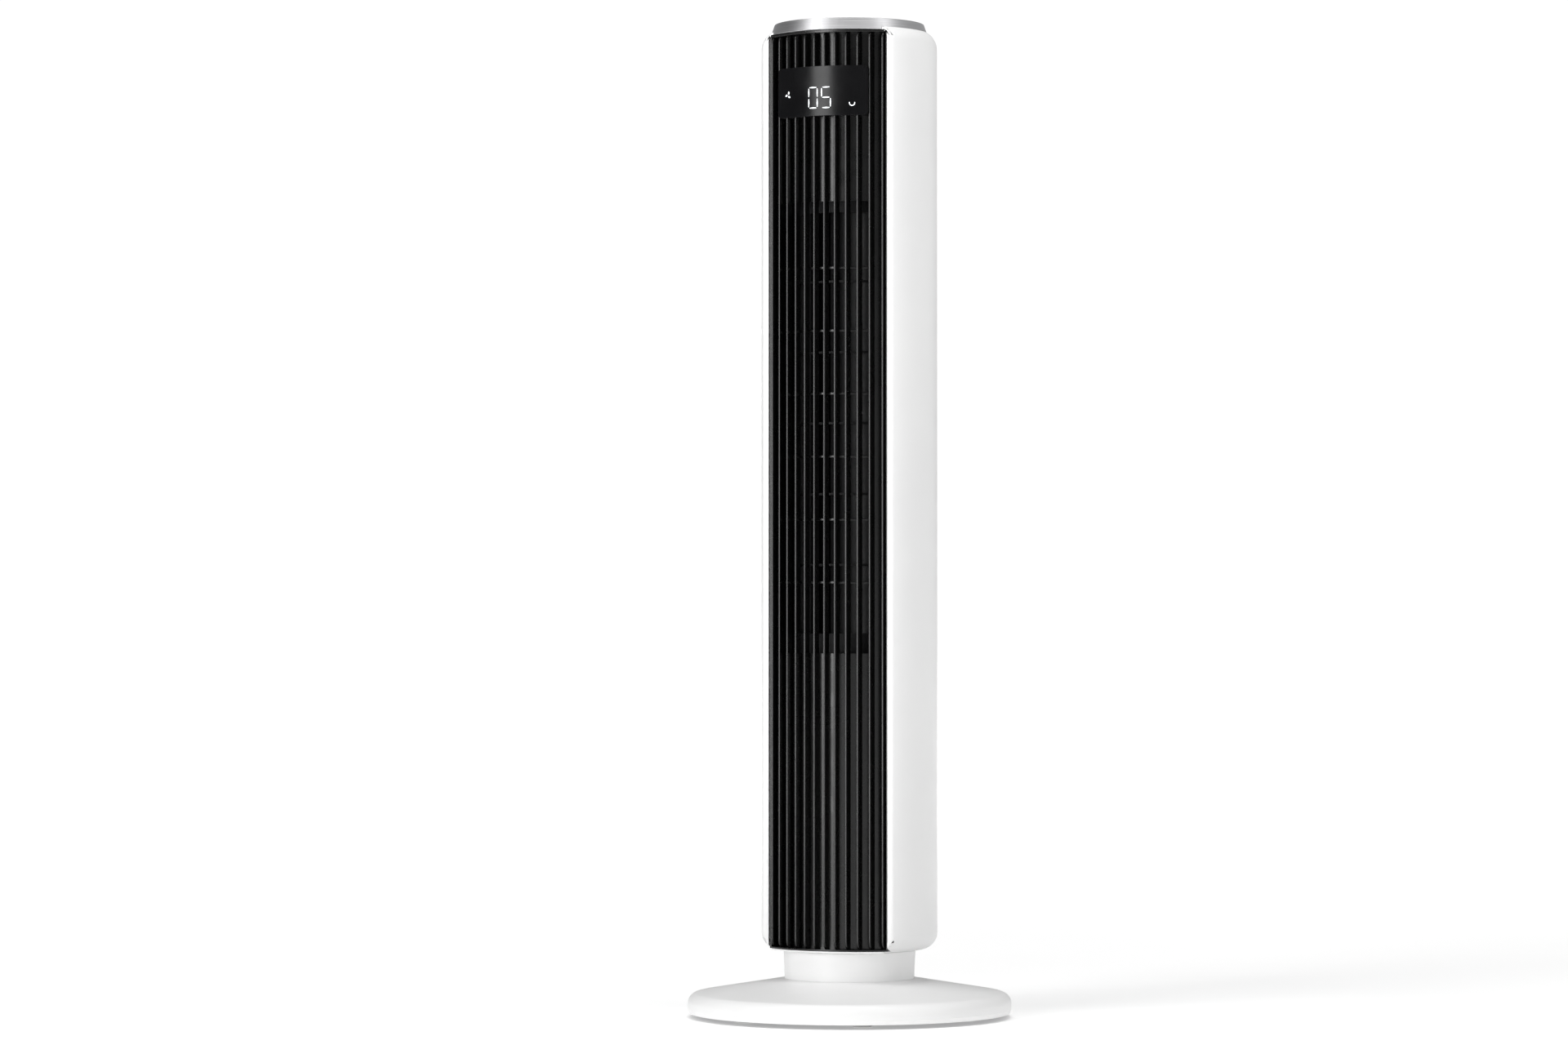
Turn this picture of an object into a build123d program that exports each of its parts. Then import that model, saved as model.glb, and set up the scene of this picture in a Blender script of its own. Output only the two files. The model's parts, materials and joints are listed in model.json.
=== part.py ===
from build123d import *
import os
from math import acos, cos, pi, radians, sin, sqrt, tan

# Tower fan on a round base. Millimetres, +Z up, the fan blows towards -Y.
# The origin is on the floor, under the centre of the base.

# ---- overall sizes
TOTAL_HEIGHT = 920.0
BASE_RADIUS = 150.0
BODY_RADIUS = 81.5        # outside of the round rear shell
BODY_BOTTOM = 63.0
FRONT_PLANE = 49.0        # the shell is cut off flat this far in front of the axis
FIT = 0.3                 # gap between moulded pieces

# ---- levels of the base, the neck and the swivel
RIM_BOTTOM = 4.0
SEAT = 34.6               # top of the base, where the neck stands
CONE_TOP = 36.1
CONE_RIM = 21.2
COVER_WALL = 2.6
PLATE_TOP = 7.5
NECK_TOP = 62.4
NECK_RADIUS = 59.9
NECK_TOP_RADIUS = 61.2
NECK_FLOOR = 38.6
SHELF = 47.5              # carries the lower race and the ring gear
SPIGOT_RADIUS = 42.0
SPIGOT_BORE = 38.0
HUB_RADIUS = 16.0
HUB_BORE = 12.0
SWING = 45.0              # degrees each way
FOOT_COUNT = 6
FOOT_CIRCLE = 116.0
SCREW_CIRCLE = 132.0

# ---- ball race and swivel gears
RACE_CIRCLE = 50.0
RACE_HALF_WIDTH = 4.5
RACE_THICK = 2.0
BALL_RADIUS = 3.0
BALL_COUNT = 16
BALL_PLAY = 0.02
GEAR_MODULE = 1.2
RING_TEETH = 60
PINION_TEETH = 15
PRESSURE_ANGLE = radians(20)
TOOTH_THINNING = 0.2
PINION_OFFSET = GEAR_MODULE * (RING_TEETH - PINION_TEETH) / 2
PINION_SHAFT = 2.4

# ---- front grille: an arc in plan, with upright fins in front of a wall
GRILLE_RADIUS = 95.0
GRILLE_CREST = 68.3       # how far the middle fins stand in front of the axis
GRILLE_HALF = 59.6
GRILLE_BOTTOM = 64.5
GRILLE_TOP = 907.5
FIN_COUNT = 12
FIN_PITCH = 10.1
FIN_THICK = 2.0
GROOVE = 8.5
GRILLE_WALL = 2.0
CAP_THICK = 1.6
OUTLET_BOTTOM = 337.0
OUTLET_TOP = 752.0
OUTLET_HALF = 46.0
BAR_COUNT = 6
BAR_PITCH = 57.8
BAR_FIRST = 402.0
BAR_HEIGHT = 2.2

# ---- display on the grille
DISPLAY_HALF = 44.5
DISPLAY_BOTTOM = 830.0
DISPLAY_TOP = 875.5
DISPLAY_CORNER = 3.5
DISPLAY_PROUD = 2.7
WINDOW_THICK = 1.8

# ---- rear shell
SHELL_WALL = 2.6
SHELL_TOP = 914.3
BOTTOM_ROUND = 15.5
TOP_ROUND = 17.0
SHELL_MOUTH = 66.6        # radius of the round opening underneath
LEDGE_INNER = 75.9
INTAKE_BOTTOM = 330.0
INTAKE_TOP = 770.0
INTAKE_HALF_ANGLE = 54.0
INTAKE_SLOTS = 17
INTAKE_ROWS = 8
HANDLE_BOTTOM = 798.0
HANDLE_TOP = 836.0
HANDLE_HALF = 42.0
HANDLE_BACK = 50.0

# ---- top
DECK_TOP = 909.0
RING_OUTER = 73.4
RING_TOP_OUTER = 69.5
RING_INNER = 68.0
PANEL_BOTTOM = 914.5
PANEL_TOP = 918.5
BUTTON_RADIUS = 8.0
POWER_RADIUS = 11.0
BUTTON_CIRCLE = 30.0
BUTTON_PROUD = 0.6
BUTTON_GAP = 0.25
FLANGE = 1.2
BOARD_THICK = 1.6

# ---- impeller, motor and duct, all on one upright axis
AXIS_Y = 6.0
IMPELLER_RADIUS = 48.0
BLADE_INNER = 37.5
BLADE_COUNT = 30
BLADE_THICK = 1.0
SEGMENTS = 6
SEGMENT_HEIGHT = 65.3
IMPELLER_BOTTOM = 352.0
DISC_THICK = 2.0
SHAFT_RADIUS = 4.0
BEARING_PLAY = 0.05
LOWER_BULKHEAD = 330.0
UPPER_BULKHEAD = 757.0
BULKHEAD_THICK = 3.0
MOTOR_RADIUS = 42.0
MOTOR_BOTTOM = 262.0
MOTOR_TOP = 318.0
DUCT_WALL = 2.0

os.makedirs("parts", exist_ok=True)


def save(name, shape):
    export_step(shape, "parts/" + name + ".step")
    print(name)


def disc(radius, low, high):
    return Pos(0, 0, low) * extrude(Circle(radius), high - low)


def tube(outer, inner, low, high):
    return Pos(0, 0, low) * extrude(Circle(outer) - Circle(inner), high - low)


def rect(x_low, x_high, y_low, y_high):
    size = Rectangle(x_high - x_low, y_high - y_low)
    return Pos((x_low + x_high) / 2, (y_low + y_high) / 2) * size


def raised(sketch, low, high):
    return Pos(0, 0, low) * extrude(sketch, high - low)


def block(x_low, x_high, y_low, y_high, low, high):
    return raised(rect(x_low, x_high, y_low, y_high), low, high)


def turned(corners, rounds=None):
    """Solid of revolution about Z from (radius, height) corners, each with its own rounding."""
    if rounds is None:
        line = Polyline(*corners, close=True)
    else:
        line = FilletPolyline(*corners, radius=rounds, close=True)
    return revolve(Plane.XZ * make_face(line), Axis.Z)


def around(shape, count, first=0.0):
    return [Rot(0, 0, first + 360 / count * i) * shape for i in range(count)]


def screw(shank, length, head, head_height):
    """Pan-head screw, its head's underside at the origin and its shank along -Z."""
    return disc(shank, -length, 0) + disc(head, 0, head_height)


def on_axis(shape):
    return Pos(0, AXIS_Y, 0) * shape


# ============================================================== base and neck

def cone_height(radius):
    """Height of the base's top surface at a radius."""
    slope = (CONE_TOP - CONE_RIM) / (BASE_RADIUS - NECK_RADIUS)
    return CONE_RIM + slope * (BASE_RADIUS - radius)


GLAND_Z = 13.0
GLAND_RADIUS = 4.6
CORD_HOLE = 3.2
COVER_INNER = BASE_RADIUS - COVER_WALL

def base_cover():
    cone_foot = NECK_RADIUS + FIT
    outer = [(BASE_RADIUS - 1.2, RIM_BOTTOM), (BASE_RADIUS, RIM_BOTTOM + 4), (BASE_RADIUS, CONE_RIM),
             (cone_foot, cone_height(cone_foot)), (cone_foot, SEAT), (SPIGOT_RADIUS + FIT, SEAT)]
    hub_under = SEAT - 2.8
    inner = [(SPIGOT_RADIUS + FIT, hub_under), (cone_foot, hub_under),
             (COVER_INNER, cone_height(COVER_INNER) - COVER_WALL), (COVER_INNER, RIM_BOTTOM)]
    cover = turned(outer + inner, [0, 0, 10, 0, 0, 0, 0, 0, 7.4, 0])
    boss_top = cone_height(SCREW_CIRCLE) - COVER_WALL / 2
    boss = Pos(SCREW_CIRCLE, 0, 0) * tube(4.0, 1.3, PLATE_TOP, boss_top)
    cover = cover + around(boss, FOOT_COUNT, 30)
    hole = Pos(0, BASE_RADIUS, GLAND_Z) * Rot(90, 0, 0) * Cylinder(GLAND_RADIUS + 0.1, 30)
    return cover - hole


def base_plate():
    plate = tube(COVER_INNER - 0.4, 56.0, RIM_BOTTOM, PLATE_TOP)
    stem_hole = Pos(FOOT_CIRCLE, 0, 0) * disc(2.55, RIM_BOTTOM, PLATE_TOP)
    screw_hole = disc(1.8, RIM_BOTTOM, PLATE_TOP) + disc(3.5, RIM_BOTTOM, RIM_BOTTOM + 2)
    plate = plate - around(stem_hole, FOOT_COUNT)
    return plate - around(Pos(SCREW_CIRCLE, 0, 0) * screw_hole, FOOT_COUNT, 30)


def rubber_feet():
    pad = turned([(0, 0), (9, 0), (9, RIM_BOTTOM), (2.5, RIM_BOTTOM), (2.5, PLATE_TOP), (0, PLATE_TOP)],
                 [0, 1.2, 0, 0, 0, 0])
    return Compound(around(Pos(FOOT_CIRCLE, 0, 0) * pad, FOOT_COUNT))


def base_screws():
    one = Pos(SCREW_CIRCLE, 0, RIM_BOTTOM + 2) * Rot(180, 0, 0) * screw(1.25, 11, 3.2, 1.8)
    return Compound(around(one, FOOT_COUNT, 30))


def ballast_ring():
    return tube(124.0, 75.0, PLATE_TOP, PLATE_TOP + 4)


def cord_gland():
    def along_y(radius, low, high):
        return Pos(0, (low + high) / 2, GLAND_Z) * Rot(90, 0, 0) * Cylinder(radius, high - low)
    sleeve = along_y(GLAND_RADIUS, 136.0, 149.0) + along_y(GLAND_RADIUS + 0.7, 141.0, 144.0)
    return sleeve - along_y(CORD_HOLE, 130.0, 155.0)


STOP_CIRCLE = 21.0
STOP_RADIUS = 2.8

def neck():
    inner_wall = 58.0
    outline = [(HUB_RADIUS + FIT, SEAT), (SPIGOT_BORE, SEAT), (SPIGOT_BORE, 20.0), (SPIGOT_RADIUS, 20.0),
               (SPIGOT_RADIUS, SEAT), (NECK_RADIUS, SEAT), (NECK_TOP_RADIUS, NECK_TOP),
               (inner_wall, NECK_TOP), (inner_wall, SHELF), (39.0, SHELF), (39.0, NECK_FLOOR),
               (HUB_RADIUS + FIT, NECK_FLOOR)]
    body = turned(outline, [0, 0, 0, 0, 0, 0, 0.8, 0, 0, 0, 0, 0])
    post = Pos(STOP_CIRCLE, 0, 0) * disc(STOP_RADIUS, NECK_FLOOR, 46.0)
    stop_angle = SWING + 17.0
    posts = [Rot(0, 0, -90 + side * stop_angle) * post for side in (-1, 1)]
    return body + posts


def lock_nut():
    nut = tube(52.0, SPIGOT_RADIUS + 0.05, 23.8, SEAT - 2.8)
    notch = Pos(53.0, 0, 0) * disc(4.0, 23.8, SEAT - 2.8)
    return nut - around(notch, 12)


def gear_face(teeth, tip, root, thinning, phase):
    """Involute gear outline in plan, one tooth centred on the phase angle."""
    pitch = GEAR_MODULE * teeth / 2
    base = pitch * cos(PRESSURE_ANGLE)
    steps = 5
    low = max(base + 0.01, root)
    heights = [low + (tip - low) * i / steps for i in range(steps + 1)]

    def half_angle(radius):
        angle = acos(base / radius)
        flank = (tan(PRESSURE_ANGLE) - PRESSURE_ANGLE) - (tan(angle) - angle)
        return pi / (2 * teeth) - thinning / (2 * pitch) + flank

    points = []
    for tooth in range(teeth):
        middle = phase + 2 * pi * tooth / teeth
        sides = [(root, -half_angle(low))] + [(r, -half_angle(r)) for r in heights]
        sides += [(r, half_angle(r)) for r in reversed(heights)] + [(root, half_angle(low))]
        if root >= low:
            sides = sides[1:-1]
        points += [(r * cos(middle + a), r * sin(middle + a)) for r, a in sides]
    return make_face(Polyline(*points, close=True))


GEAR_LOW = SHELF
GEAR_HIGH = 56.5

def ring_gear():
    pitch = GEAR_MODULE * RING_TEETH / 2
    space = gear_face(RING_TEETH, pitch + 1.25 * GEAR_MODULE, pitch - 0.8, -TOOTH_THINNING, pi / 2)
    return raised(Circle(41.5) - space, GEAR_LOW, GEAR_HIGH)


def swivel_pinion():
    pitch = GEAR_MODULE * PINION_TEETH / 2
    face = gear_face(PINION_TEETH, pitch + GEAR_MODULE, pitch - 1.25 * GEAR_MODULE, TOOTH_THINNING, pi / 2)
    return Pos(0, PINION_OFFSET, 0) * raised(face - Circle(PINION_SHAFT + 0.05), GEAR_LOW + 1, GEAR_HIGH - 0.5)


def pinion_shaft():
    return Pos(0, PINION_OFFSET, 0) * disc(PINION_SHAFT, GEAR_LOW + 1, BODY_BOTTOM + 9)


RACE_LOW_TOP = SHELF + RACE_THICK
BALL_Z = RACE_LOW_TOP + BALL_RADIUS + BALL_PLAY
RACE_HIGH_BOTTOM = BALL_Z + BALL_RADIUS + BALL_PLAY
RACE_OUTER = RACE_CIRCLE + RACE_HALF_WIDTH
RACE_INNER = RACE_CIRCLE - RACE_HALF_WIDTH

def bearing_balls():
    ball = Pos(RACE_CIRCLE, 0, BALL_Z) * Sphere(BALL_RADIUS)
    return Compound(around(ball, BALL_COUNT))


def ball_cage():
    ring = tube(RACE_OUTER, RACE_INNER, BALL_Z - 1.2, BALL_Z + 1.2)
    pocket = Pos(RACE_CIRCLE, 0, 0) * disc(BALL_RADIUS + 0.1, BALL_Z - 2, BALL_Z + 2)
    return ring - around(pocket, BALL_COUNT)


def lower_race():
    return tube(RACE_OUTER, RACE_INNER, SHELF, RACE_LOW_TOP)


def upper_race():
    return tube(RACE_OUTER, RACE_INNER, RACE_HIGH_BOTTOM, RACE_HIGH_BOTTOM + RACE_THICK)


# ======================================================== bottom of the tower

def grille_circle(inset=0.0):
    return Pos(0, GRILLE_RADIUS - GRILLE_CREST) * Circle(GRILLE_RADIUS - inset)


STANDOFF_TOP = 74.0
BOARD_CORNERS = [(-41, -36), (41, -36), (-41, -16), (41, -16)]
SWIVEL_MOTOR_Y = PINION_OFFSET + 8

def turntable():
    lip_top = GRILLE_BOTTOM - 0.1
    floor_top = BODY_BOTTOM + 3
    lip = grille_circle(0.3) & rect(-70, 70, -80, -FRONT_PLANE - 0.2)
    table = raised(Circle(SHELL_MOUTH - 0.4) + lip, BODY_BOTTOM, lip_top)
    inside_grille = grille_circle(GROOVE + GRILLE_WALL + 1.3)
    table += raised(Circle(SHELL_MOUTH - 0.4) & inside_grille & rect(-57, 57, -90, 90), lip_top, floor_top)
    table += tube(RACE_OUTER, RACE_INNER, RACE_HIGH_BOTTOM + RACE_THICK, BODY_BOTTOM)
    table += disc(HUB_RADIUS, SEAT - 0.3, floor_top)
    stop = block(-3, 3, -23.4, -HUB_RADIUS + 1, 40.0, 45.0)
    table += stop
    for x, y in BOARD_CORNERS:
        table += Pos(x, y, 0) * disc(3.0, floor_top - 1, STANDOFF_TOP)
    table -= disc(HUB_BORE, 0, 100)
    table -= Pos(0, PINION_OFFSET, 0) * disc(3.0, BODY_BOTTOM - 1, floor_top + 1)
    pilot = Pos(14, 0, 0) * disc(1.05, SEAT - 1, SEAT + 7)
    return table - around(pilot, 3, 30)


def retainer_plate():
    plate = tube(24.0, HUB_BORE, SEAT - 2.8, SEAT - 0.3)
    return plate - around(Pos(14, 0, 0) * disc(1.2, 0, SEAT), 3, 30)


def retainer_screws():
    one = Pos(14, 0, SEAT - 2.8) * Rot(180, 0, 0) * screw(1.0, 8, 1.9, 1.5)
    return Compound(around(one, 3, 30))


def swivel_motor():
    """Small geared stepper motor, standing on the turntable."""
    low = BODY_BOTTOM + 3
    can = Pos(0, SWIVEL_MOTOR_Y, 0) * disc(14.0, low, low + 19)
    ears = rect(-17.5, 17.5, SWIVEL_MOTOR_Y - 3.5, SWIVEL_MOTOR_Y + 3.5)
    ears += [Pos(x, SWIVEL_MOTOR_Y) * Circle(3.5) for x in (-17.5, 17.5)]
    ears -= [Pos(x, SWIVEL_MOTOR_Y) * Circle(1.7) for x in (-17.5, 17.5)]
    plug = block(-7, 7, SWIVEL_MOTOR_Y + 12, SWIVEL_MOTOR_Y + 18, low + 2, low + 17)
    motor = can + raised(ears, low, low + 1) + plug
    return motor - Pos(0, PINION_OFFSET, 0) * disc(PINION_SHAFT + 0.1, low - 1, low + 7)


def main_board():
    board = rect(-45, 45, -40, -14)
    board -= [Pos(x, y) * Circle(1.5) for x, y in BOARD_CORNERS]
    return raised(board, STANDOFF_TOP, STANDOFF_TOP + BOARD_THICK)


def board_parts():
    top = STANDOFF_TOP + BOARD_THICK
    return Compound([
        block(-34, -14, -34, -20, top, top + 17),                     # transformer
        Pos(0, -27, 0) * disc(6.0, top, top + 20),                    # smoothing capacitor
        Pos(14, -31, 0) * disc(4.0, top, top + 12),
        block(20, 36, -34, -24, top, top + 11),                       # relay
        block(8, 18, -22, -16, top, top + 8),                         # plug sockets
        block(22, 34, -21, -16, top, top + 8),
    ])


# ================================================================ front grille

def fin_places():
    return [(i - (FIN_COUNT - 1) / 2) * FIN_PITCH for i in range(FIN_COUNT)]


def grille_band(outer, inner, half):
    """Strip of the grille's arc between two depths behind its front."""
    return (grille_circle(outer) - grille_circle(inner)) & rect(-half, half, -90, 0)


def display_outline(grow=0.0):
    """Upright rounded prism, the outline of the display seen from the front."""
    width = 2 * (DISPLAY_HALF + grow)
    height = DISPLAY_TOP - DISPLAY_BOTTOM + 2 * grow
    face = RectangleRounded(width, height, DISPLAY_CORNER)
    middle = (DISPLAY_TOP + DISPLAY_BOTTOM) / 2
    return Pos(0, -40, middle) * Rot(90, 0, 0) * extrude(face, 60)


def front_grille():
    fins = Sketch() + [rect(x - FIN_THICK / 2, x + FIN_THICK / 2, -90, 0) for x in fin_places()]
    fins &= grille_band(0, GROOVE + 1, GRILLE_HALF)
    bars = raised(fins, GRILLE_BOTTOM, GRILLE_TOP)
    envelope = raised(grille_circle() & rect(-GRILLE_HALF, GRILLE_HALF, -90, -30), GRILLE_BOTTOM, GRILLE_TOP)
    edges = envelope.edges().filter_by(GeomType.CIRCLE).sort_by(Axis.Z)
    envelope = fillet(edges[0], 9.0)
    edges = envelope.edges().filter_by(GeomType.CIRCLE).sort_by(Axis.Z)
    envelope = fillet(edges[-1], 6.0)
    bars = bars & envelope

    back = GROOVE + GRILLE_WALL
    wall = grille_band(GROOVE, back, GRILLE_HALF)
    middle = rect(-OUTLET_HALF, OUTLET_HALF, -90, 0)
    frame_inner = GRILLE_HALF - 2
    side_frames = grille_circle() & (rect(-GRILLE_HALF, -frame_inner, -90, -33)
                                     + rect(frame_inner, GRILLE_HALF, -90, -33))
    grille = raised(wall - middle, GRILLE_BOTTOM, GRILLE_TOP)
    grille += raised(side_frames, GRILLE_BOTTOM, GRILLE_TOP)
    grille += raised(wall, GRILLE_BOTTOM, OUTLET_BOTTOM)
    grille += raised(wall, OUTLET_TOP, GRILLE_TOP)
    cap = grille_band(0, back + 1, GRILLE_HALF)
    grille += raised(cap, GRILLE_BOTTOM, GRILLE_BOTTOM + CAP_THICK)
    grille += raised(cap, GRILLE_TOP - CAP_THICK, GRILLE_TOP)
    cross = grille_band(GROOVE, GROOVE + 3, OUTLET_HALF + 1)
    for i in range(BAR_COUNT):
        level = BAR_FIRST + i * BAR_PITCH
        grille += raised(cross, level - BAR_HEIGHT / 2, level + BAR_HEIGHT / 2)
    grille = grille + bars

    pocket = display_outline(0.2) & raised(grille_circle(-5) - grille_circle(GROOVE), 820, 880)
    module_hole = block(-41, 41, -90, -30, DISPLAY_BOTTOM + 3, DISPLAY_TOP - 3)
    return grille - pocket - module_hole


def display_housing():
    depth = grille_circle(WINDOW_THICK - DISPLAY_PROUD) - grille_circle(GROOVE - 0.1)
    tray = raised(depth & rect(-60, 60, -90, -30), 820, 880) & display_outline()
    return tray - block(-41, 41, -90, -30, DISPLAY_BOTTOM + 3, DISPLAY_TOP - 3)


def display_window():
    depth = grille_circle(-DISPLAY_PROUD) - grille_circle(WINDOW_THICK - DISPLAY_PROUD)
    return raised(depth & rect(-60, 60, -90, -30), 820, 880) & display_outline()


DISPLAY_BOARD_Y = -56.0

def display_board():
    low, high = DISPLAY_BOTTOM + 4, DISPLAY_TOP - 4
    return block(-30, 30, DISPLAY_BOARD_Y, DISPLAY_BOARD_Y + BOARD_THICK, low, high)


def led_module():
    """Two-digit display block with an icon lamp each side and the remote's receiver."""
    middle = (DISPLAY_BOTTOM + DISPLAY_TOP) / 2
    digits = block(-15, 15, -67.5, DISPLAY_BOARD_Y, middle - 13, middle + 13)
    lamps = [block(x - 3, x + 3, -60, DISPLAY_BOARD_Y, middle - 3, middle + 3) for x in (-26, 26)]
    receiver = block(-3, 3, -61, DISPLAY_BOARD_Y, middle - 18, middle - 14)
    return Compound([digits, receiver] + lamps)


# ================================================================== rear shell

def shell_solid(inset=0.0):
    radius = BODY_RADIUS - inset
    low, high = BODY_BOTTOM + inset, SHELL_TOP - inset
    return turned([(0, low), (radius, low), (radius, high), (0, high)],
                  [0, BOTTOM_ROUND - inset, TOP_ROUND - inset, 0])


def wedge(half_angle, low, high):
    """Prism that opens towards +Y, half_angle each side of it."""
    reach = 200
    corner = (reach * sin(radians(half_angle)), reach * cos(radians(half_angle)))
    face = make_face(Polyline((0, 0), corner, (0, reach * 3), (-corner[0], corner[1]), close=True))
    return raised(face, low, high)


def intake_screw_places():
    turn = INTAKE_HALF_ANGLE - 2.6
    return [(side * turn, level) for side in (-1, 1) for level in (INTAKE_BOTTOM + 3.6, INTAKE_TOP - 3.6)]


def radially(shape, angle, level, radius):
    """Place a shape made along +Z so that it points outwards at the back of the tower."""
    return Rot(0, 0, angle) * Pos(0, radius, level) * Rot(-90, 0, 0) * shape


def rear_shell():
    outer = shell_solid()
    shell = outer - shell_solid(SHELL_WALL) - disc(SHELL_MOUTH, 60, 70)
    shell += tube(77.5, 68.0, GRILLE_TOP - 2.6, GRILLE_TOP)
    shell -= disc(RING_OUTER + 0.2, GRILLE_TOP - 0.1, 930)
    ledge = tube(BODY_RADIUS - 1.5, LEDGE_INNER, INTAKE_BOTTOM - 6, INTAKE_TOP + 6)
    shell += ledge & wedge(INTAKE_HALF_ANGLE + 3, 300, 800)
    shell -= wedge(INTAKE_HALF_ANGLE - 5, INTAKE_BOTTOM + 7, INTAKE_TOP - 7) - disc(60, 300, 800)
    seat = tube(90, BODY_RADIUS - SHELL_WALL, INTAKE_BOTTOM, INTAKE_TOP)
    shell -= seat & wedge(INTAKE_HALF_ANGLE, 300, 800)
    shell -= block(-100, 100, -100, -FRONT_PLANE, 0, 930)
    shell -= block(-GRILLE_HALF - FIT, GRILLE_HALF + FIT, -60, -31.4, GRILLE_BOTTOM - 0.1, GRILLE_TOP)
    rim = outer & block(-100, 100, -FRONT_PLANE, -FRONT_PLANE + 3, 60, 930)
    shell += rim - block(-GRILLE_HALF - FIT, GRILLE_HALF + FIT, -60, 0, 0, 930)
    shell -= block(-HANDLE_HALF - FIT, HANDLE_HALF + FIT, 60, 100, HANDLE_BOTTOM - FIT, HANDLE_TOP + FIT)
    for angle, level in intake_screw_places():
        shell -= radially(disc(1.3, -8, 8), angle, level, BODY_RADIUS)
    return shell


def handle_cup():
    low, high = HANDLE_BOTTOM, HANDLE_TOP
    cup = block(-HANDLE_HALF, HANDLE_HALF, HANDLE_BACK, 90, low, high) & disc(BODY_RADIUS - 0.2, low, high)
    cavity = block(-HANDLE_HALF + 2.5, HANDLE_HALF - 2.5, HANDLE_BACK + 2.5, 100, low + 2.5, high - 2.5)
    cavity = fillet(cavity.edges().filter_by(Axis.Y), 4.0)
    return cup - cavity


def intake_grille():
    half = INTAKE_HALF_ANGLE - 0.3
    low, high = INTAKE_BOTTOM + FIT, INTAKE_TOP - FIT
    panel = tube(BODY_RADIUS, BODY_RADIUS - SHELL_WALL + 0.1, low, high) & wedge(half, 300, 800)
    frame_low, frame_high = low + 8, high - 8
    row = (frame_high - frame_low) / INTAKE_ROWS
    step = 2 * (INTAKE_HALF_ANGLE - 6) / INTAKE_SLOTS
    hoop = 2.4
    slots = []
    for i in range(INTAKE_SLOTS):
        angle = (i - (INTAKE_SLOTS - 1) / 2) * step
        for j in range(INTAKE_ROWS):
            bottom = frame_low + j * row + hoop / 2
            slot = block(-2.4, 2.4, 70, 90, bottom, bottom + row - hoop)
            slots.append(Rot(0, 0, angle) * slot)
    panel = panel - slots
    for angle, level in intake_screw_places():
        panel -= radially(disc(1.6, -8, 8), angle, level, BODY_RADIUS)
        panel -= radially(disc(2.9, -1.3, 8), angle, level, BODY_RADIUS)
    return panel


def intake_screws():
    one = screw(1.25, 4.2, 2.7, 1.1)
    return Compound([radially(one, angle, level, BODY_RADIUS - 1.3) for angle, level in intake_screw_places()])


# ========================================================================= top

LOOM_TOP = (40, 0)

def top_deck():
    flat = Circle(RING_OUTER - 0.1) & rect(-80, 80, -FRONT_PLANE + 0.1, 80)
    flat += grille_circle() & Circle(RING_OUTER - 0.1) & rect(-GRILLE_HALF, GRILLE_HALF, -80, -FRONT_PLANE + 1)
    deck = raised(flat, GRILLE_TOP, DECK_TOP)
    deck += tube(RING_INNER - 0.2, 60.0, DECK_TOP, PANEL_BOTTOM)
    return deck - Pos(*LOOM_TOP, 0) * disc(2.2, 900, 912)


def trim_ring():
    corners = [(RING_INNER, DECK_TOP), (RING_OUTER, DECK_TOP), (RING_TOP_OUTER, TOTAL_HEIGHT),
               (RING_INNER, TOTAL_HEIGHT)]
    return turned(corners, [0, 0, 0.6, 0.4])


def button_places():
    """Name, centre and radius of each button on the control panel."""
    names = ["speed_button", "swing_button", "timer_button", "mode_button"]
    places = [("power_button", 0.0, 0.0, POWER_RADIUS)]
    for i, name in enumerate(names):
        angle = radians(-45 + 90 * i)
        places.append((name, BUTTON_CIRCLE * cos(angle), BUTTON_CIRCLE * sin(angle), BUTTON_RADIUS))
    return places


def control_panel():
    panel = disc(RING_INNER - 0.2, PANEL_BOTTOM, PANEL_TOP)
    for name, x, y, radius in button_places():
        panel -= Pos(x, y, 0) * disc(radius + BUTTON_GAP, 900, 930)
    return panel


def button(x, y, radius):
    flange_top = PANEL_BOTTOM - 0.05
    corners = [(0, flange_top - 1), (radius + FLANGE, flange_top - 1), (radius + FLANGE, flange_top),
               (radius, flange_top), (radius, PANEL_TOP + BUTTON_PROUD), (0, PANEL_TOP + BUTTON_PROUD)]
    return Pos(x, y, 0) * turned(corners, [0, 0, 0, 0, 0.5, 0])


def control_board():
    return disc(46.0, DECK_TOP, DECK_TOP + BOARD_THICK)


def tact_switches():
    low = DECK_TOP + BOARD_THICK
    return Compound([block(x - 3, x + 3, y - 3, y + 3, low, low + 2) for name, x, y, radius in button_places()])


# ===================================================== impeller, motor and duct

def blade_face():
    """One forward-curved blade in plan, on the +X side."""
    start = (BLADE_INNER, 0)
    lean = radians(13)
    tip_radius = IMPELLER_RADIUS - 0.6
    end = (tip_radius * cos(lean), tip_radius * sin(lean))
    return trace(RadiusArc(start, end, -11), BLADE_THICK)


def impeller():
    blades = Sketch() + around(blade_face(), BLADE_COUNT)
    segment = tube(IMPELLER_RADIUS, BLADE_INNER - 3, 0, DISC_THICK)
    segment += raised(blades, DISC_THICK - 0.5, SEGMENT_HEIGHT)
    solids = []
    for i in range(SEGMENTS):
        solids.append(on_axis(Pos(0, 0, IMPELLER_BOTTOM + i * SEGMENT_HEIGHT) * segment))
    top = IMPELLER_BOTTOM + SEGMENTS * SEGMENT_HEIGHT
    solids.append(on_axis(tube(IMPELLER_RADIUS, SHAFT_RADIUS + 0.02, top, top + DISC_THICK)))
    return Compound(solids)


HUB_METAL = 9.0

def impeller_hub():
    return on_axis(tube(HUB_METAL, SHAFT_RADIUS + 0.02, 340, IMPELLER_BOTTOM + DISC_THICK))


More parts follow.
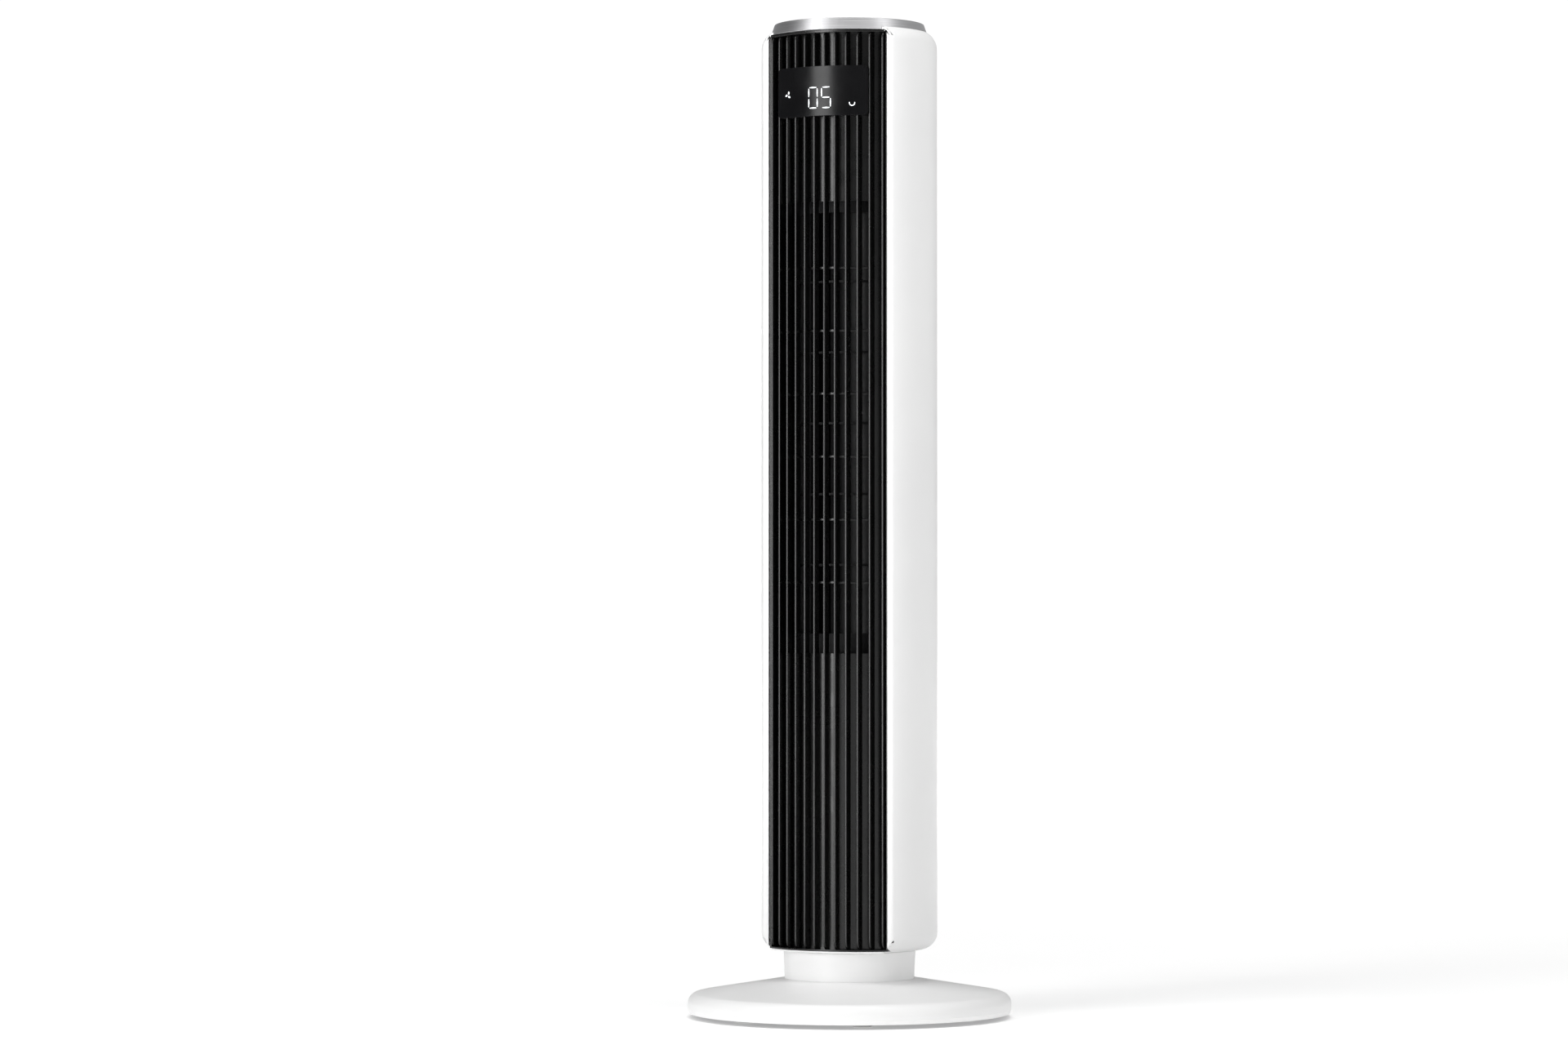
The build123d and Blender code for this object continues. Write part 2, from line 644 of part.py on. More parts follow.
def hub_rubber():
    return on_axis(tube(BLADE_INNER - 3, HUB_METAL, IMPELLER_BOTTOM, IMPELLER_BOTTOM + DISC_THICK)
                   + tube(14.0, HUB_METAL, 345, IMPELLER_BOTTOM))


def top_shaft():
    low = IMPELLER_BOTTOM + SEGMENTS * SEGMENT_HEIGHT - 6
    return on_axis(disc(SHAFT_RADIUS, low, 773) + disc(7.0, low, low + 6))


def motor_shaft():
    return on_axis(disc(SHAFT_RADIUS, MOTOR_BOTTOM + 3, IMPELLER_BOTTOM + DISC_THICK))


def motor_rotor():
    return on_axis(tube(23.5, SHAFT_RADIUS, 276, 304))


def motor_stator():
    core = Circle(38.0) - Circle(24.0)
    core -= [Rot(0, 0, 30 * i) * rect(23, 31, -1.5, 1.5) for i in range(12)]
    return on_axis(raised(core, 278, 302))


def motor_coils():
    def winding(low, high):
        return turned([(25, low), (37, low), (37, high), (25, high)], [3, 3, 3, 3])
    return Compound([on_axis(winding(268, 278)), on_axis(winding(302, 312))])


BEARING_OUTER = 8.0

def motor_housing():
    """Two pressed cups that meet at mid-height; the top one carries the mounting boss."""
    wall = 1.5
    middle = (MOTOR_BOTTOM + MOTOR_TOP) / 2
    inside = MOTOR_RADIUS - wall
    upper = turned([(BEARING_OUTER, 306), (12, 306), (12, MOTOR_TOP - wall), (inside, MOTOR_TOP - wall),
                    (inside, middle), (MOTOR_RADIUS, middle), (MOTOR_RADIUS, MOTOR_TOP), (12, MOTOR_TOP),
                    (12, 330), (BEARING_OUTER, 330)], [0, 0, 0, 2.5, 0, 0, 4, 0, 0.8, 0])
    low = MOTOR_BOTTOM
    lower = turned([(0, low), (MOTOR_RADIUS, low), (MOTOR_RADIUS, middle), (inside, middle),
                    (inside, low + wall), (12, low + wall), (12, low + 11), (BEARING_OUTER, low + 11),
                    (BEARING_OUTER, low + wall), (0, low + wall)], [0, 4, 0, 0, 2.5, 0, 0, 0, 0, 0])
    return Compound([on_axis(upper), on_axis(lower)])


def motor_bearings():
    bore = SHAFT_RADIUS + BEARING_PLAY
    upper = tube(BEARING_OUTER, bore, 318, 328)
    lower = tube(BEARING_OUTER, bore, MOTOR_BOTTOM + 2, MOTOR_BOTTOM + 10)
    return Compound([on_axis(upper), on_axis(lower)])


def motor_mount():
    return on_axis(turned([(12.05, 320), (20, 320), (20, 323), (15.9, 323), (15.9, 329), (12.05, 329)]))


BRACKET_SCREWS = 44.0

def motor_bracket():
    plate = tube(50.0, 16.0, 323, 326)
    plate += around(Pos(BRACKET_SCREWS, 0, 0) * disc(4.5, 326, LOWER_BULKHEAD), 3)
    return on_axis(plate - around(Pos(BRACKET_SCREWS, 0, 0) * disc(1.3, 320, 335), 3))


def bulkhead_face():
    inner_arc = grille_circle(GROOVE + GRILLE_WALL + FIT)
    front = inner_arc & rect(-57.2, 57.2, -80, 0)
    return Circle(LEDGE_INNER - FIT) & (rect(-80, 80, -32.5, 80) + front)


LOOM_SIDE = (67, 22)
SCROLL_SCREWS = [(-62, 8), (-59, -24)]
TONGUE_SCREWS = [(58, -12), (50, -30)]

def bulkhead(low, centre_hole):
    plate = raised(bulkhead_face(), low, low + BULKHEAD_THICK)
    plate -= on_axis(disc(centre_hole, low - 1, low + 5))
    plate -= Pos(*LOOM_SIDE, 0) * disc(2.4, low - 1, low + 5)
    for x, y in SCROLL_SCREWS + TONGUE_SCREWS:
        plate -= Pos(x, y, 0) * disc(1.4, low - 1, low + 5)
    return plate


SKIRT_LAP = 3.0
SKIRT_GAP = 1.3
SKIRT_WALL = 1.5
IMPELLER_TOP = IMPELLER_BOTTOM + SEGMENTS * SEGMENT_HEIGHT + DISC_THICK

def skirt(low, high):
    """Collar round one end of the impeller, so that air can't slip past it."""
    return on_axis(tube(IMPELLER_RADIUS + SKIRT_GAP + SKIRT_WALL, IMPELLER_RADIUS + SKIRT_GAP, low, high))


def lower_bulkhead():
    plate = bulkhead(LOWER_BULKHEAD, 20.0)
    plate += skirt(LOWER_BULKHEAD + 1, IMPELLER_BOTTOM + SKIRT_LAP)
    pilot = Pos(BRACKET_SCREWS, 0, 0) * disc(1.3, LOWER_BULKHEAD - 1, LOWER_BULKHEAD + 5)
    return plate - [on_axis(hole) for hole in around(pilot, 3)]


def upper_bulkhead():
    plate = bulkhead(UPPER_BULKHEAD, 11.0)
    plate += skirt(IMPELLER_TOP - SKIRT_LAP, UPPER_BULKHEAD + 1)
    return plate + on_axis(tube(14.0, 11.0, UPPER_BULKHEAD, 773))


def bush_rubber():
    return on_axis(tube(11.0, 7.5, UPPER_BULKHEAD + 2, 771))


def upper_bush():
    return on_axis(tube(7.5, SHAFT_RADIUS + BEARING_PLAY, UPPER_BULKHEAD + 3, 770))


def duct_piece(path, screws):
    low, high = LOWER_BULKHEAD + BULKHEAD_THICK, UPPER_BULKHEAD
    face = trace(Spline(*path), DUCT_WALL)
    face += [Pos(x, y) * Circle(4.0) for x, y in screws]
    face -= [Pos(x, y) * Circle(1.3) for x, y in screws]
    return raised(face, low, high)


def scroll_wall():
    path = [(-18, 56.5), (-38, 45), (-54, 25), (-60, 2), (-57, -22), (-48, -41)]
    return duct_piece(path, SCROLL_SCREWS)


def tongue_wall():
    path = [(47.5, -41), (46, -30), (46, -20), (52, -14.5), (63, -15)]
    return duct_piece(path, TONGUE_SCREWS)


def duct_screws():
    """Screws that hold the two duct walls between the bulkheads, and the motor bracket below."""
    one = screw(1.25, 12, 2.8, 2.0)
    top = UPPER_BULKHEAD + BULKHEAD_THICK
    solids = []
    for x, y in SCROLL_SCREWS + TONGUE_SCREWS:
        solids.append(Pos(x, y, top) * one)
        solids.append(Pos(x, y, LOWER_BULKHEAD) * Rot(180, 0, 0) * one)
    hanging = Pos(BRACKET_SCREWS, 0, 323) * Rot(180, 0, 0) * screw(1.25, 9.5, 2.8, 2.0)
    return Compound(solids + [on_axis(copy) for copy in around(hanging, 3)])


def wire_loom():
    """Leads from the main board up one side of the tower to the control board."""
    side_x, side_y = LOOM_SIDE
    start = (40, -20)
    path = FilletPolyline((*start, STANDOFF_TOP + BOARD_THICK), (*start, 95), (side_x, side_y, 125),
                          (side_x, side_y, 862), (*LOOM_TOP, 892), (*LOOM_TOP, DECK_TOP),
                          radius=[8, 14, 14, 8])
    lead = sweep(Plane(path @ 0, z_dir=path % 0) * Circle(1.8), path)
    print("wire loom length", round(path.length), "volume ratio", round(lead.volume / (pi * 1.8 ** 2 * path.length), 4))
    return lead


SAVED = [base_cover, base_plate, rubber_feet, base_screws, ballast_ring, cord_gland, neck, lock_nut,
         ring_gear, lower_race, upper_race, bearing_balls, ball_cage, swivel_pinion, pinion_shaft, turntable, retainer_plate,
         retainer_screws, swivel_motor, main_board, board_parts, front_grille, display_housing,
         display_window, display_board, led_module, rear_shell, handle_cup, intake_grille, intake_screws,
         top_deck, trim_ring, control_panel, control_board, tact_switches, impeller, impeller_hub,
         hub_rubber, top_shaft, motor_shaft, motor_rotor, motor_stator, motor_coils, motor_housing,
         motor_bearings, motor_mount, motor_bracket, lower_bulkhead, upper_bulkhead, bush_rubber,
         upper_bush, scroll_wall, tongue_wall, duct_screws,
         wire_loom]

for piece in SAVED:
    save(piece.__name__, piece())
for button_name, button_x, button_y, button_radius in button_places():
    save(button_name, button(button_x, button_y, button_radius))
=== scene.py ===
# %% [markdown]
# # A tower fan, dressed for its portrait
# The fan was first drawn as exact solids: a round base, a neck with a ball race, and a slim
# tower that swings on it and holds the motor and the long blower wheel. This lesson loads those
# solids as a fixed frame and gives the fan its looks. The big curved pieces are modelled again
# with a finer skin, because the solids arrive as flat triangles. Everything hidden stays as it
# is and only gets a good material.

# %% Loading the frame
import json
from math import asin, atan2, cos, pi, radians, sin, sqrt, tan

import bmesh
import bpy
from mathutils import Matrix, Vector


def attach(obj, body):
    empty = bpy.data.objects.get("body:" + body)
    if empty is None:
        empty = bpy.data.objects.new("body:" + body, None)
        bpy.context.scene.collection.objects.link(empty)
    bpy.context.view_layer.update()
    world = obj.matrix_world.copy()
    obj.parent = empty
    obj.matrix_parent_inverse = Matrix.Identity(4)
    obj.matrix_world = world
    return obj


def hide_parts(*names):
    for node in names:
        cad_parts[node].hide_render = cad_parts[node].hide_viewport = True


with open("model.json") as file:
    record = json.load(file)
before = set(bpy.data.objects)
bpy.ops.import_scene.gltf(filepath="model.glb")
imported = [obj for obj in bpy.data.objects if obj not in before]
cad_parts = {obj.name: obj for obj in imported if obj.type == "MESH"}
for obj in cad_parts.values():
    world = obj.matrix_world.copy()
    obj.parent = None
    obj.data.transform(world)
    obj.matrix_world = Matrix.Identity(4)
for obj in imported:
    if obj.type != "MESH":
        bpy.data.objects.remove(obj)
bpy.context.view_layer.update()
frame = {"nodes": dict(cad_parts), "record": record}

MM = 0.001
DOUBLES = 0.002 * MM
SLOT_OF = {part["node"]: part["material_slot"] for part in frame["record"]["subparts"]}

# %% [markdown]
# ## Small helpers for working by hand
# An operator acts on everything that is selected, so each piece starts with nothing selected.
# Lengths are written in millimetres, as on a workshop drawing, and turned into metres here.

# %% Selecting, naming and placing
def deselect():
    if bpy.context.object and bpy.context.object.mode != "OBJECT":
        bpy.ops.object.mode_set(mode="OBJECT")
    bpy.ops.object.select_all(action="DESELECT")


def only(piece):
    deselect()
    piece.select_set(True)
    bpy.context.view_layer.objects.active = piece


def named(name):
    """Name the new primitive and put its place into its mesh."""
    piece = bpy.context.object
    piece.name = piece.data.name = name
    bpy.ops.object.transform_apply(location=True, rotation=True, scale=True)
    return piece


def edit(piece):
    only(piece)
    bpy.ops.object.mode_set(mode="EDIT")
    bpy.ops.mesh.select_all(action="SELECT")


def leave():
    bpy.ops.object.mode_set(mode="OBJECT")


def choose(piece, kind, test):
    """In edit mode, select the VERT, EDGE or FACE items whose middle, in mm, passes a test."""
    bpy.ops.mesh.select_mode(type=kind)
    bpy.ops.mesh.select_all(action="DESELECT")
    mesh = bmesh.from_edit_mesh(piece.data)
    items = {"VERT": mesh.verts, "EDGE": mesh.edges, "FACE": mesh.faces}[kind]
    found = 0
    for item in items:
        corners = [item] if kind == "VERT" else item.verts
        middle = sum((v.co for v in corners), Vector()) / len(corners) / MM
        if test(middle, item):
            item.select_set(True)
            found += 1
    mesh.select_flush_mode()
    bmesh.update_edit_mesh(piece.data)
    return found


def tidy_mesh(piece):
    """Merge doubles, close what is open and turn every face outwards."""
    edit(piece)
    bpy.ops.mesh.remove_doubles(threshold=DOUBLES)
    bpy.ops.mesh.fill_holes(sides=0)
    bpy.ops.mesh.select_all(action="SELECT")
    bpy.ops.mesh.normals_make_consistent(inside=False)
    leave()


def tidy_sheet(piece, centre=0.0):
    """Merge the doubles of a bent sheet and turn its faces away from its centre, given as a y."""
    edit(piece)
    bpy.ops.mesh.select_mode(type="VERT")
    bpy.ops.mesh.select_all(action="SELECT")
    bpy.ops.mesh.remove_doubles(threshold=DOUBLES)
    bpy.ops.mesh.normals_make_consistent(inside=False)
    leave()
    face = piece.data.polygons[0]
    if face.normal.dot(face.center - Vector((0, centre * MM, face.center.z))) < 0:
        edit(piece)
        bpy.ops.mesh.flip_normals()
        leave()


def slab(name, low, high):
    """A block between two corners."""
    deselect()
    middle = [(a + b) / 2 * MM for a, b in zip(low, high)]
    size = [(b - a) * MM for a, b in zip(low, high)]
    bpy.ops.mesh.primitive_cube_add(size=1, location=middle, scale=size)
    return named(name)


def apply(piece, kind, **settings):
    """Add a modifier, set it and apply it."""
    only(piece)
    modifier = piece.modifiers.new(kind.lower(), kind)
    for key, value in settings.items():
        setattr(modifier, key, value)
    bpy.ops.object.modifier_apply(modifier=modifier.name)


def cut(piece, *cutters):
    """Take cutters away from a piece, as a milling tool would."""
    for cutter in cutters:
        apply(piece, "BOOLEAN", operation="DIFFERENCE", solver="EXACT", object=cutter)
        bpy.data.objects.remove(cutter)


def soften(piece, width, segments, angle=35):
    """Round the sharp edges a little, as a mould does."""
    apply(piece, "BEVEL", width=width * MM, segments=segments, limit_method="ANGLE",
          angle_limit=radians(angle), harden_normals=False)


def smooth(piece, angle=32):
    """Shade softly except at sharp edges, and let the wide faces lead."""
    only(piece)
    bpy.ops.object.shade_smooth_by_angle(angle=radians(angle))
    apply(piece, "WEIGHTED_NORMAL", keep_sharp=True)


def join(name, pieces):
    deselect()
    for piece in pieces:
        piece.select_set(True)
    bpy.context.view_layer.objects.active = pieces[0]
    bpy.ops.object.join()
    whole = bpy.context.object
    whole.name = whole.data.name = name
    return whole


def twin(piece, name):
    """A copy with its own mesh."""
    only(piece)
    bpy.ops.object.duplicate(linked=False)
    copy = bpy.context.object
    copy.name = copy.data.name = name
    return copy


def move(piece, *offset):
    """Move the whole mesh by an offset in mm, so that the object itself stays at the origin."""
    edit(piece)
    bpy.ops.transform.translate(value=[part * MM for part in offset])
    leave()


def bisect(piece, point, normal, side=None, fill=False):
    """Cut straight across. side is the part to throw away, 'outer' being where normal points."""
    edit(piece)
    bpy.ops.mesh.bisect(plane_co=[p * MM for p in point], plane_no=normal, use_fill=fill,
                        clear_outer=side == "outer", clear_inner=side == "inner",
                        threshold=DOUBLES / 2)
    leave()


print("helpers ready")

# %% [markdown]
# ## Turning on a lathe, and bending a panel
# Most of the fan is round. A turned piece starts as a circle that is extruded from corner to
# corner of its outline and resized on the way. The Screw modifier would do the same from a drawn
# line. Extruding is used because each corner stays a number that can be read off a drawing.
# A bent panel is a strip of a wide circle, cut to width, with windows removed and then thickened.

# %% Lathe and bent panel
def rounded(corners, radii, steps):
    """An outline, with some of its corners rounded off."""
    points = []
    for i, (corner, radius) in enumerate(zip(corners, radii)):
        if not radius:
            points.append(tuple(corner))
            continue
        here = Vector(corner)
        back = (Vector(corners[i - 1]) - here).normalized()
        on = (Vector(corners[(i + 1) % len(corners)]) - here).normalized()
        half = back.angle(on) / 2
        centre = here + (back + on).normalized() * radius / sin(half)
        start = here + back * radius / tan(half) - centre
        end = here + on * radius / tan(half) - centre
        points += [tuple(centre + start.slerp(end, k / steps).normalized() * radius)
                   for k in range(steps + 1)]
    return points


def lathe(name, outline, around, loop=True):
    """Turn an outline of (radius, height) about the vertical. A loop comes back to its start."""
    deselect()
    radius, level = outline[0]
    bpy.ops.mesh.primitive_circle_add(vertices=around, radius=radius * MM, fill_type="NOTHING",
                                      location=(0, 0, level * MM))
    piece = named(name)
    edit(piece)
    corners = outline + [outline[0]] if loop else outline
    for (r0, z0), (r1, z1) in zip(corners, corners[1:]):
        bpy.ops.mesh.extrude_edges_move(TRANSFORM_OT_translate={"value": (0, 0, (z1 - z0) * MM)})
        bpy.ops.transform.resize(value=(r1 / r0, r1 / r0, 1), center_override=(0, 0, z1 * MM))
    leave()
    tidy_mesh(piece)
    return piece


COLUMNS = 360


def bent_panel(name, radius, centre, half, levels, thick, front=True, windows=()):
    """Strip of an upright cylinder, its windows given as (x low, x high, z low, z high)."""
    deselect()
    bpy.ops.mesh.primitive_circle_add(vertices=COLUMNS, radius=radius * MM, fill_type="NOTHING",
                                      location=(0, centre * MM, levels[0] * MM))
    piece = named(name)
    edit(piece)
    for low, high in zip(levels, levels[1:]):
        bpy.ops.mesh.extrude_edges_move(TRANSFORM_OT_translate={"value": (0, 0, (high - low) * MM)})
    leave()
    bisect(piece, (half, 0, 0), (1, 0, 0), side="outer")
    bisect(piece, (-half, 0, 0), (1, 0, 0), side="inner")
    for x in sorted({edge for window in windows for edge in window[:2]}):
        bisect(piece, (x, 0, 0), (1, 0, 0))
    edit(piece)
    choose(piece, "FACE", lambda m, f: (m.y > centre) == front)
    bpy.ops.mesh.delete(type="FACE")
    for x_low, x_high, z_low, z_high in windows:
        if choose(piece, "FACE", lambda m, f: x_low < m.x < x_high and z_low < m.z < z_high):
            bpy.ops.mesh.delete(type="FACE")
    tidy_sheet(piece, centre)
    apply(piece, "SOLIDIFY", thickness=thick * MM, offset=-1, use_even_offset=True)
    return piece


print("lathe and bent panel ready")

# %% [markdown]
# ## Camera
# The fan is seen from a little to its own left, from knee height, through a long lens from
# almost five metres away, so its upright edges stay parallel. The camera stands a little to one
# side of the line through the fan's axis, so the fan sits right of the middle of the frame.

# %% Camera
VIEW = radians(25)
DISTANCE = 4.624
SIDESTEP = 0.0607
EYE = 0.3784
PITCH = radians(0.986)
LENS = 114.375
toward = Vector((sin(VIEW), -cos(VIEW), 0))
rightward = Vector((cos(VIEW), sin(VIEW), 0))
place = toward * DISTANCE - rightward * SIDESTEP + Vector((0, 0, EYE))
deselect()
bpy.ops.object.camera_add(location=place, rotation=(pi / 2 + PITCH, 0, VIEW))
camera = bpy.context.object
camera.name = "camera"
camera.data.lens = LENS
camera.data.sensor_width = 36
camera.data.clip_end = 200
bpy.context.scene.camera = camera
print("camera at", [round(c, 3) for c in place])

# %% [markdown]
# ## Moulded plastic
# A satin moulding is never one flat colour: its gloss wanders over a hand's width, its colour
# shifts by a hair, and close up it has the fine grain of the spark-eroded mould. Three noises
# do that: a slow one for the colour, a middle one for the gloss and a very fine one for a bump.

# %% Plastic recipe
PATCH_LOW, PATCH_HIGH = 0.3, 0.7


def start_material(name):
    material = bpy.data.materials.new(name)
    material.use_nodes = True
    nodes, links = material.node_tree.nodes, material.node_tree.links
    shader = nodes["Principled BSDF"]
    where = nodes.new("ShaderNodeTexCoord")
    return material, nodes, links, shader, where.outputs["Object"]


def noise(nodes, links, where, scale, detail=2.0, stretch=None):
    """A noise on the object's own coordinates; scale is in patches per metre."""
    if stretch:
        mapping = nodes.new("ShaderNodeMapping")
        mapping.inputs["Scale"].default_value = stretch
        links.new(where, mapping.inputs["Vector"])
        where = mapping.outputs["Vector"]
    texture = nodes.new("ShaderNodeTexNoise")
    texture.inputs["Scale"].default_value = scale
    texture.inputs["Detail"].default_value = detail
    links.new(where, texture.inputs["Vector"])
    return texture.outputs["Fac"]


def between(nodes, links, source, low, high):
    """Spread a noise between two values."""
    spread = nodes.new("ShaderNodeMapRange")
    spread.inputs["From Min"].default_value = PATCH_LOW
    spread.inputs["From Max"].default_value = PATCH_HIGH
    spread.inputs["To Min"].default_value = low
    spread.inputs["To Max"].default_value = high
    links.new(source, spread.inputs["Value"])
    return spread.outputs["Result"]


def two_tones(nodes, links, source, dark, light, low=PATCH_LOW, high=PATCH_HIGH):
    """Blend from one colour to another as a value goes from low to high."""
    ramp = nodes.new("ShaderNodeValToRGB")
    ramp.color_ramp.elements[0].position = low
    ramp.color_ramp.elements[1].position = high
    ramp.color_ramp.elements[0].color = (*dark, 1)
    ramp.color_ramp.elements[1].color = (*light, 1)
    links.new(source, ramp.inputs["Fac"])
    return ramp.outputs["Color"]


def grain(nodes, links, shader, source, strength, depth):
    """A bump from a noise; depth in mm."""
    bump = nodes.new("ShaderNodeBump")
    bump.inputs["Strength"].default_value = strength
    bump.inputs["Distance"].default_value = depth * MM
    links.new(source, bump.inputs["Height"])
    links.new(bump.outputs["Normal"], shader.inputs["Normal"])


def plastic(name, dark, light, gloss, grain_scale=1600, strength=0.25, level=0.5):
    material, nodes, links, shader, where = start_material(name)
    slow = noise(nodes, links, where, 9, 3)
    links.new(two_tones(nodes, links, slow, dark, light), shader.inputs["Base Color"])
    middle = noise(nodes, links, where, 55, 4)
    links.new(between(nodes, links, middle, *gloss), shader.inputs["Roughness"])
    grain(nodes, links, shader, noise(nodes, links, where, grain_scale, 2), strength, 0.02)
    shader.inputs["Specular IOR Level"].default_value = level
    return material


def metal(name, dark, light, gloss, scale, stretch=None, strength=0.15):
    material, nodes, links, shader, where = start_material(name)
    streaks = noise(nodes, links, where, scale, 6, stretch)
    links.new(two_tones(nodes, links, streaks, dark, light), shader.inputs["Base Color"])
    links.new(between(nodes, links, streaks, *gloss), shader.inputs["Roughness"])
    grain(nodes, links, shader, streaks, strength, 0.03)
    shader.inputs["Metallic"].default_value = 1.0
    return material


print("plastic and metal recipes ready")

# %% [markdown]
# ## The finishes of this fan
# Satin white for the shell and base, near-black with a soft sheen for the grille, polished black
# for the display, and steel brushed around the top ring. Inside are bare steel, copper,
# natural acetal gears, rubber and green boards.

# %% Finishes, one for each slot
FINISH = {
    "white_shell": plastic("satin_white", (0.78, 0.78, 0.78), (0.81, 0.81, 0.808), (0.30, 0.38)),
    "white_base": plastic("satin_white_base", (0.83, 0.83, 0.828), (0.86, 0.86, 0.858), (0.34, 0.44)),
    "black_grille": plastic("sheen_black", (0.002, 0.002, 0.002), (0.004, 0.004, 0.004), (0.24, 0.32),
                            900, 0.12),
    "black_gloss": plastic("polished_black", (0.003, 0.003, 0.0035), (0.006, 0.006, 0.0065),
                           (0.20, 0.26), 300, 0.02, level=0.22),
    "black_plastic": plastic("matt_black", (0.004, 0.004, 0.0045), (0.009, 0.009, 0.0095), (0.5, 0.62),
                             level=0.3),
    "grey_plastic": plastic("matt_grey", (0.28, 0.28, 0.285), (0.34, 0.34, 0.345), (0.45, 0.6)),
    "natural_plastic": plastic("acetal", (0.72, 0.70, 0.64), (0.80, 0.78, 0.72), (0.35, 0.45)),
    "trim": metal("brushed_ring_steel", (0.50, 0.50, 0.51), (0.66, 0.66, 0.67), (0.36, 0.48), 4,
                  (3, 3, 520), 0.12),
    "steel": metal("bare_steel", (0.45, 0.45, 0.46), (0.62, 0.62, 0.63), (0.28, 0.42), 180),
    "ballast": plastic("black_iron", (0.03, 0.03, 0.03), (0.07, 0.066, 0.062), (0.55, 0.75), 700, 0.6),
    "ball_steel": metal("ball_steel", (0.72, 0.72, 0.73), (0.80, 0.80, 0.81), (0.06, 0.12), 200, None, 0.02),
    "rubber": plastic("black_rubber", (0.02, 0.02, 0.02), (0.035, 0.035, 0.035), (0.7, 0.85), 1200, 0.5),
    "foot_rubber": plastic("white_rubber", (0.70, 0.70, 0.69), (0.76, 0.76, 0.75), (0.6, 0.75), 1200, 0.4),
    "copper": metal("copper_wire", (0.50, 0.19, 0.08), (0.75, 0.34, 0.17), (0.25, 0.4), 60, (1, 1, 40), 0.5),
    "bronze": metal("sintered_bronze", (0.38, 0.25, 0.10), (0.56, 0.40, 0.20), (0.4, 0.55), 900, None, 0.5),
    "board": plastic("green_board", (0.01, 0.06, 0.02), (0.02, 0.12, 0.04), (0.3, 0.45), 500, 0.4),
    "device": plastic("component_cases", (0.03, 0.03, 0.032), (0.08, 0.08, 0.085), (0.4, 0.6), 500, 0.3),
    "button": plastic("soft_touch_black", (0.018, 0.018, 0.019), (0.03, 0.03, 0.031), (0.45, 0.55)),
}
for node, piece in frame["nodes"].items():
    for material_slot in piece.material_slots:
        material_slot.material = FINISH[SLOT_OF[node]]
print("finishes:", len(FINISH))

# %% [markdown]
# ## Signing a piece off
# Each finished piece takes the finish of the solid it stands for, rides on that solid's body and
# takes its place. The whole list can be read in what these cells print.

# %% Signing off
def done(piece, body, *nodes):
    """Ride on a body, take the finish of the slot and stand for some nodes."""
    slot = SLOT_OF[nodes[0]]
    piece.data.materials.clear()
    piece.data.materials.append(FINISH[slot])
    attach(piece, body)
    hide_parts(*nodes)
    print(piece.name, "-", len(piece.data.polygons), "faces, on", body)


print("ready to sign off")

# %% [markdown]
# ## Rear shell
# One tall moulding wraps the sides, the back and both rounded ends of the tower. It is cut off
# flat at the front, where a narrow flange frames the grille. It could be a sheet that Solidify
# thickens, but the stepped seat for the top ring has corners that Solidify would blur, so the
# outline of the wall is turned, inside and out, and then cut flat. The bay for the grille, the
# handle and the back window are cut next, and the front edge is rounded last.

# %% Turning and cutting the shell
BODY_R, WALL, FRONT = 81.5, 2.6, 49.0
LOW_MID, LOW_R, HIGH_MID, HIGH_R = (66.0, 78.5), 15.5, (64.5, 897.3), 17.0
SEAT_R, SEAT_TOP, SEAT_UNDER = 73.6, 907.4, 904.9
RING_IN, RING_OUT, RING_LEAN, RING_LOW, RING_TOP = 68.0, 73.4, 69.5, 909.0, 920.0
BAY_HALF, BAY_LOW, BAY_HIGH, BAY_BACK = 59.9, 64.4, 907.5, -31.4
GRIP_HALF, GRIP_LOW, GRIP_HIGH = 42.3, 797.7, 836.3
FLANGE_OUT, FLANGE_LOW, FLANGE_HIGH = 62.2, 72.4, 903.8
FAR, RIM_BEVEL, NEAR_SKIN = 100.0, 1.2, 0.6


def quarter(middle, radius, start, stop, steps=12):
    """Points of an arc round a middle, from one angle to another, in degrees from straight out."""
    turns = [radians(start + (stop - start) * k / steps) for k in range(steps + 1)]
    return [(middle[0] + radius * cos(t), middle[1] + radius * sin(t)) for t in turns]


outline = (quarter(LOW_MID, LOW_R, -87.8, 0) + quarter(HIGH_MID, HIGH_R, 0, 57.6)
           + [(SEAT_R, SEAT_TOP), (RING_IN, SEAT_TOP), (RING_IN, SEAT_UNDER), (76.73, SEAT_UNDER)]
           + quarter(HIGH_MID, HIGH_R - WALL, 31, 0, 6) + quarter(LOW_MID, LOW_R - WALL, 0, -87.3))
shell = lathe("tower_shell", outline, 192)
bisect(shell, (0, -FRONT, 0), (0, -1, 0), side="outer", fill=True)


def outside(m, e):
    """Is this edge of the flat cut on the outer skin?"""
    if any(abs(v.co.y / MM + FRONT) > 0.01 for v in e.verts):
        return False
    r = sqrt(m.x ** 2 + m.y ** 2)
    if m.z < LOW_MID[1]:
        return sqrt((r - LOW_MID[0]) ** 2 + (m.z - LOW_MID[1]) ** 2) > LOW_R - NEAR_SKIN
    if m.z > HIGH_MID[1]:
        return sqrt((r - HIGH_MID[0]) ** 2 + (m.z - HIGH_MID[1]) ** 2) > HIGH_R - NEAR_SKIN
    return r > BODY_R - NEAR_SKIN


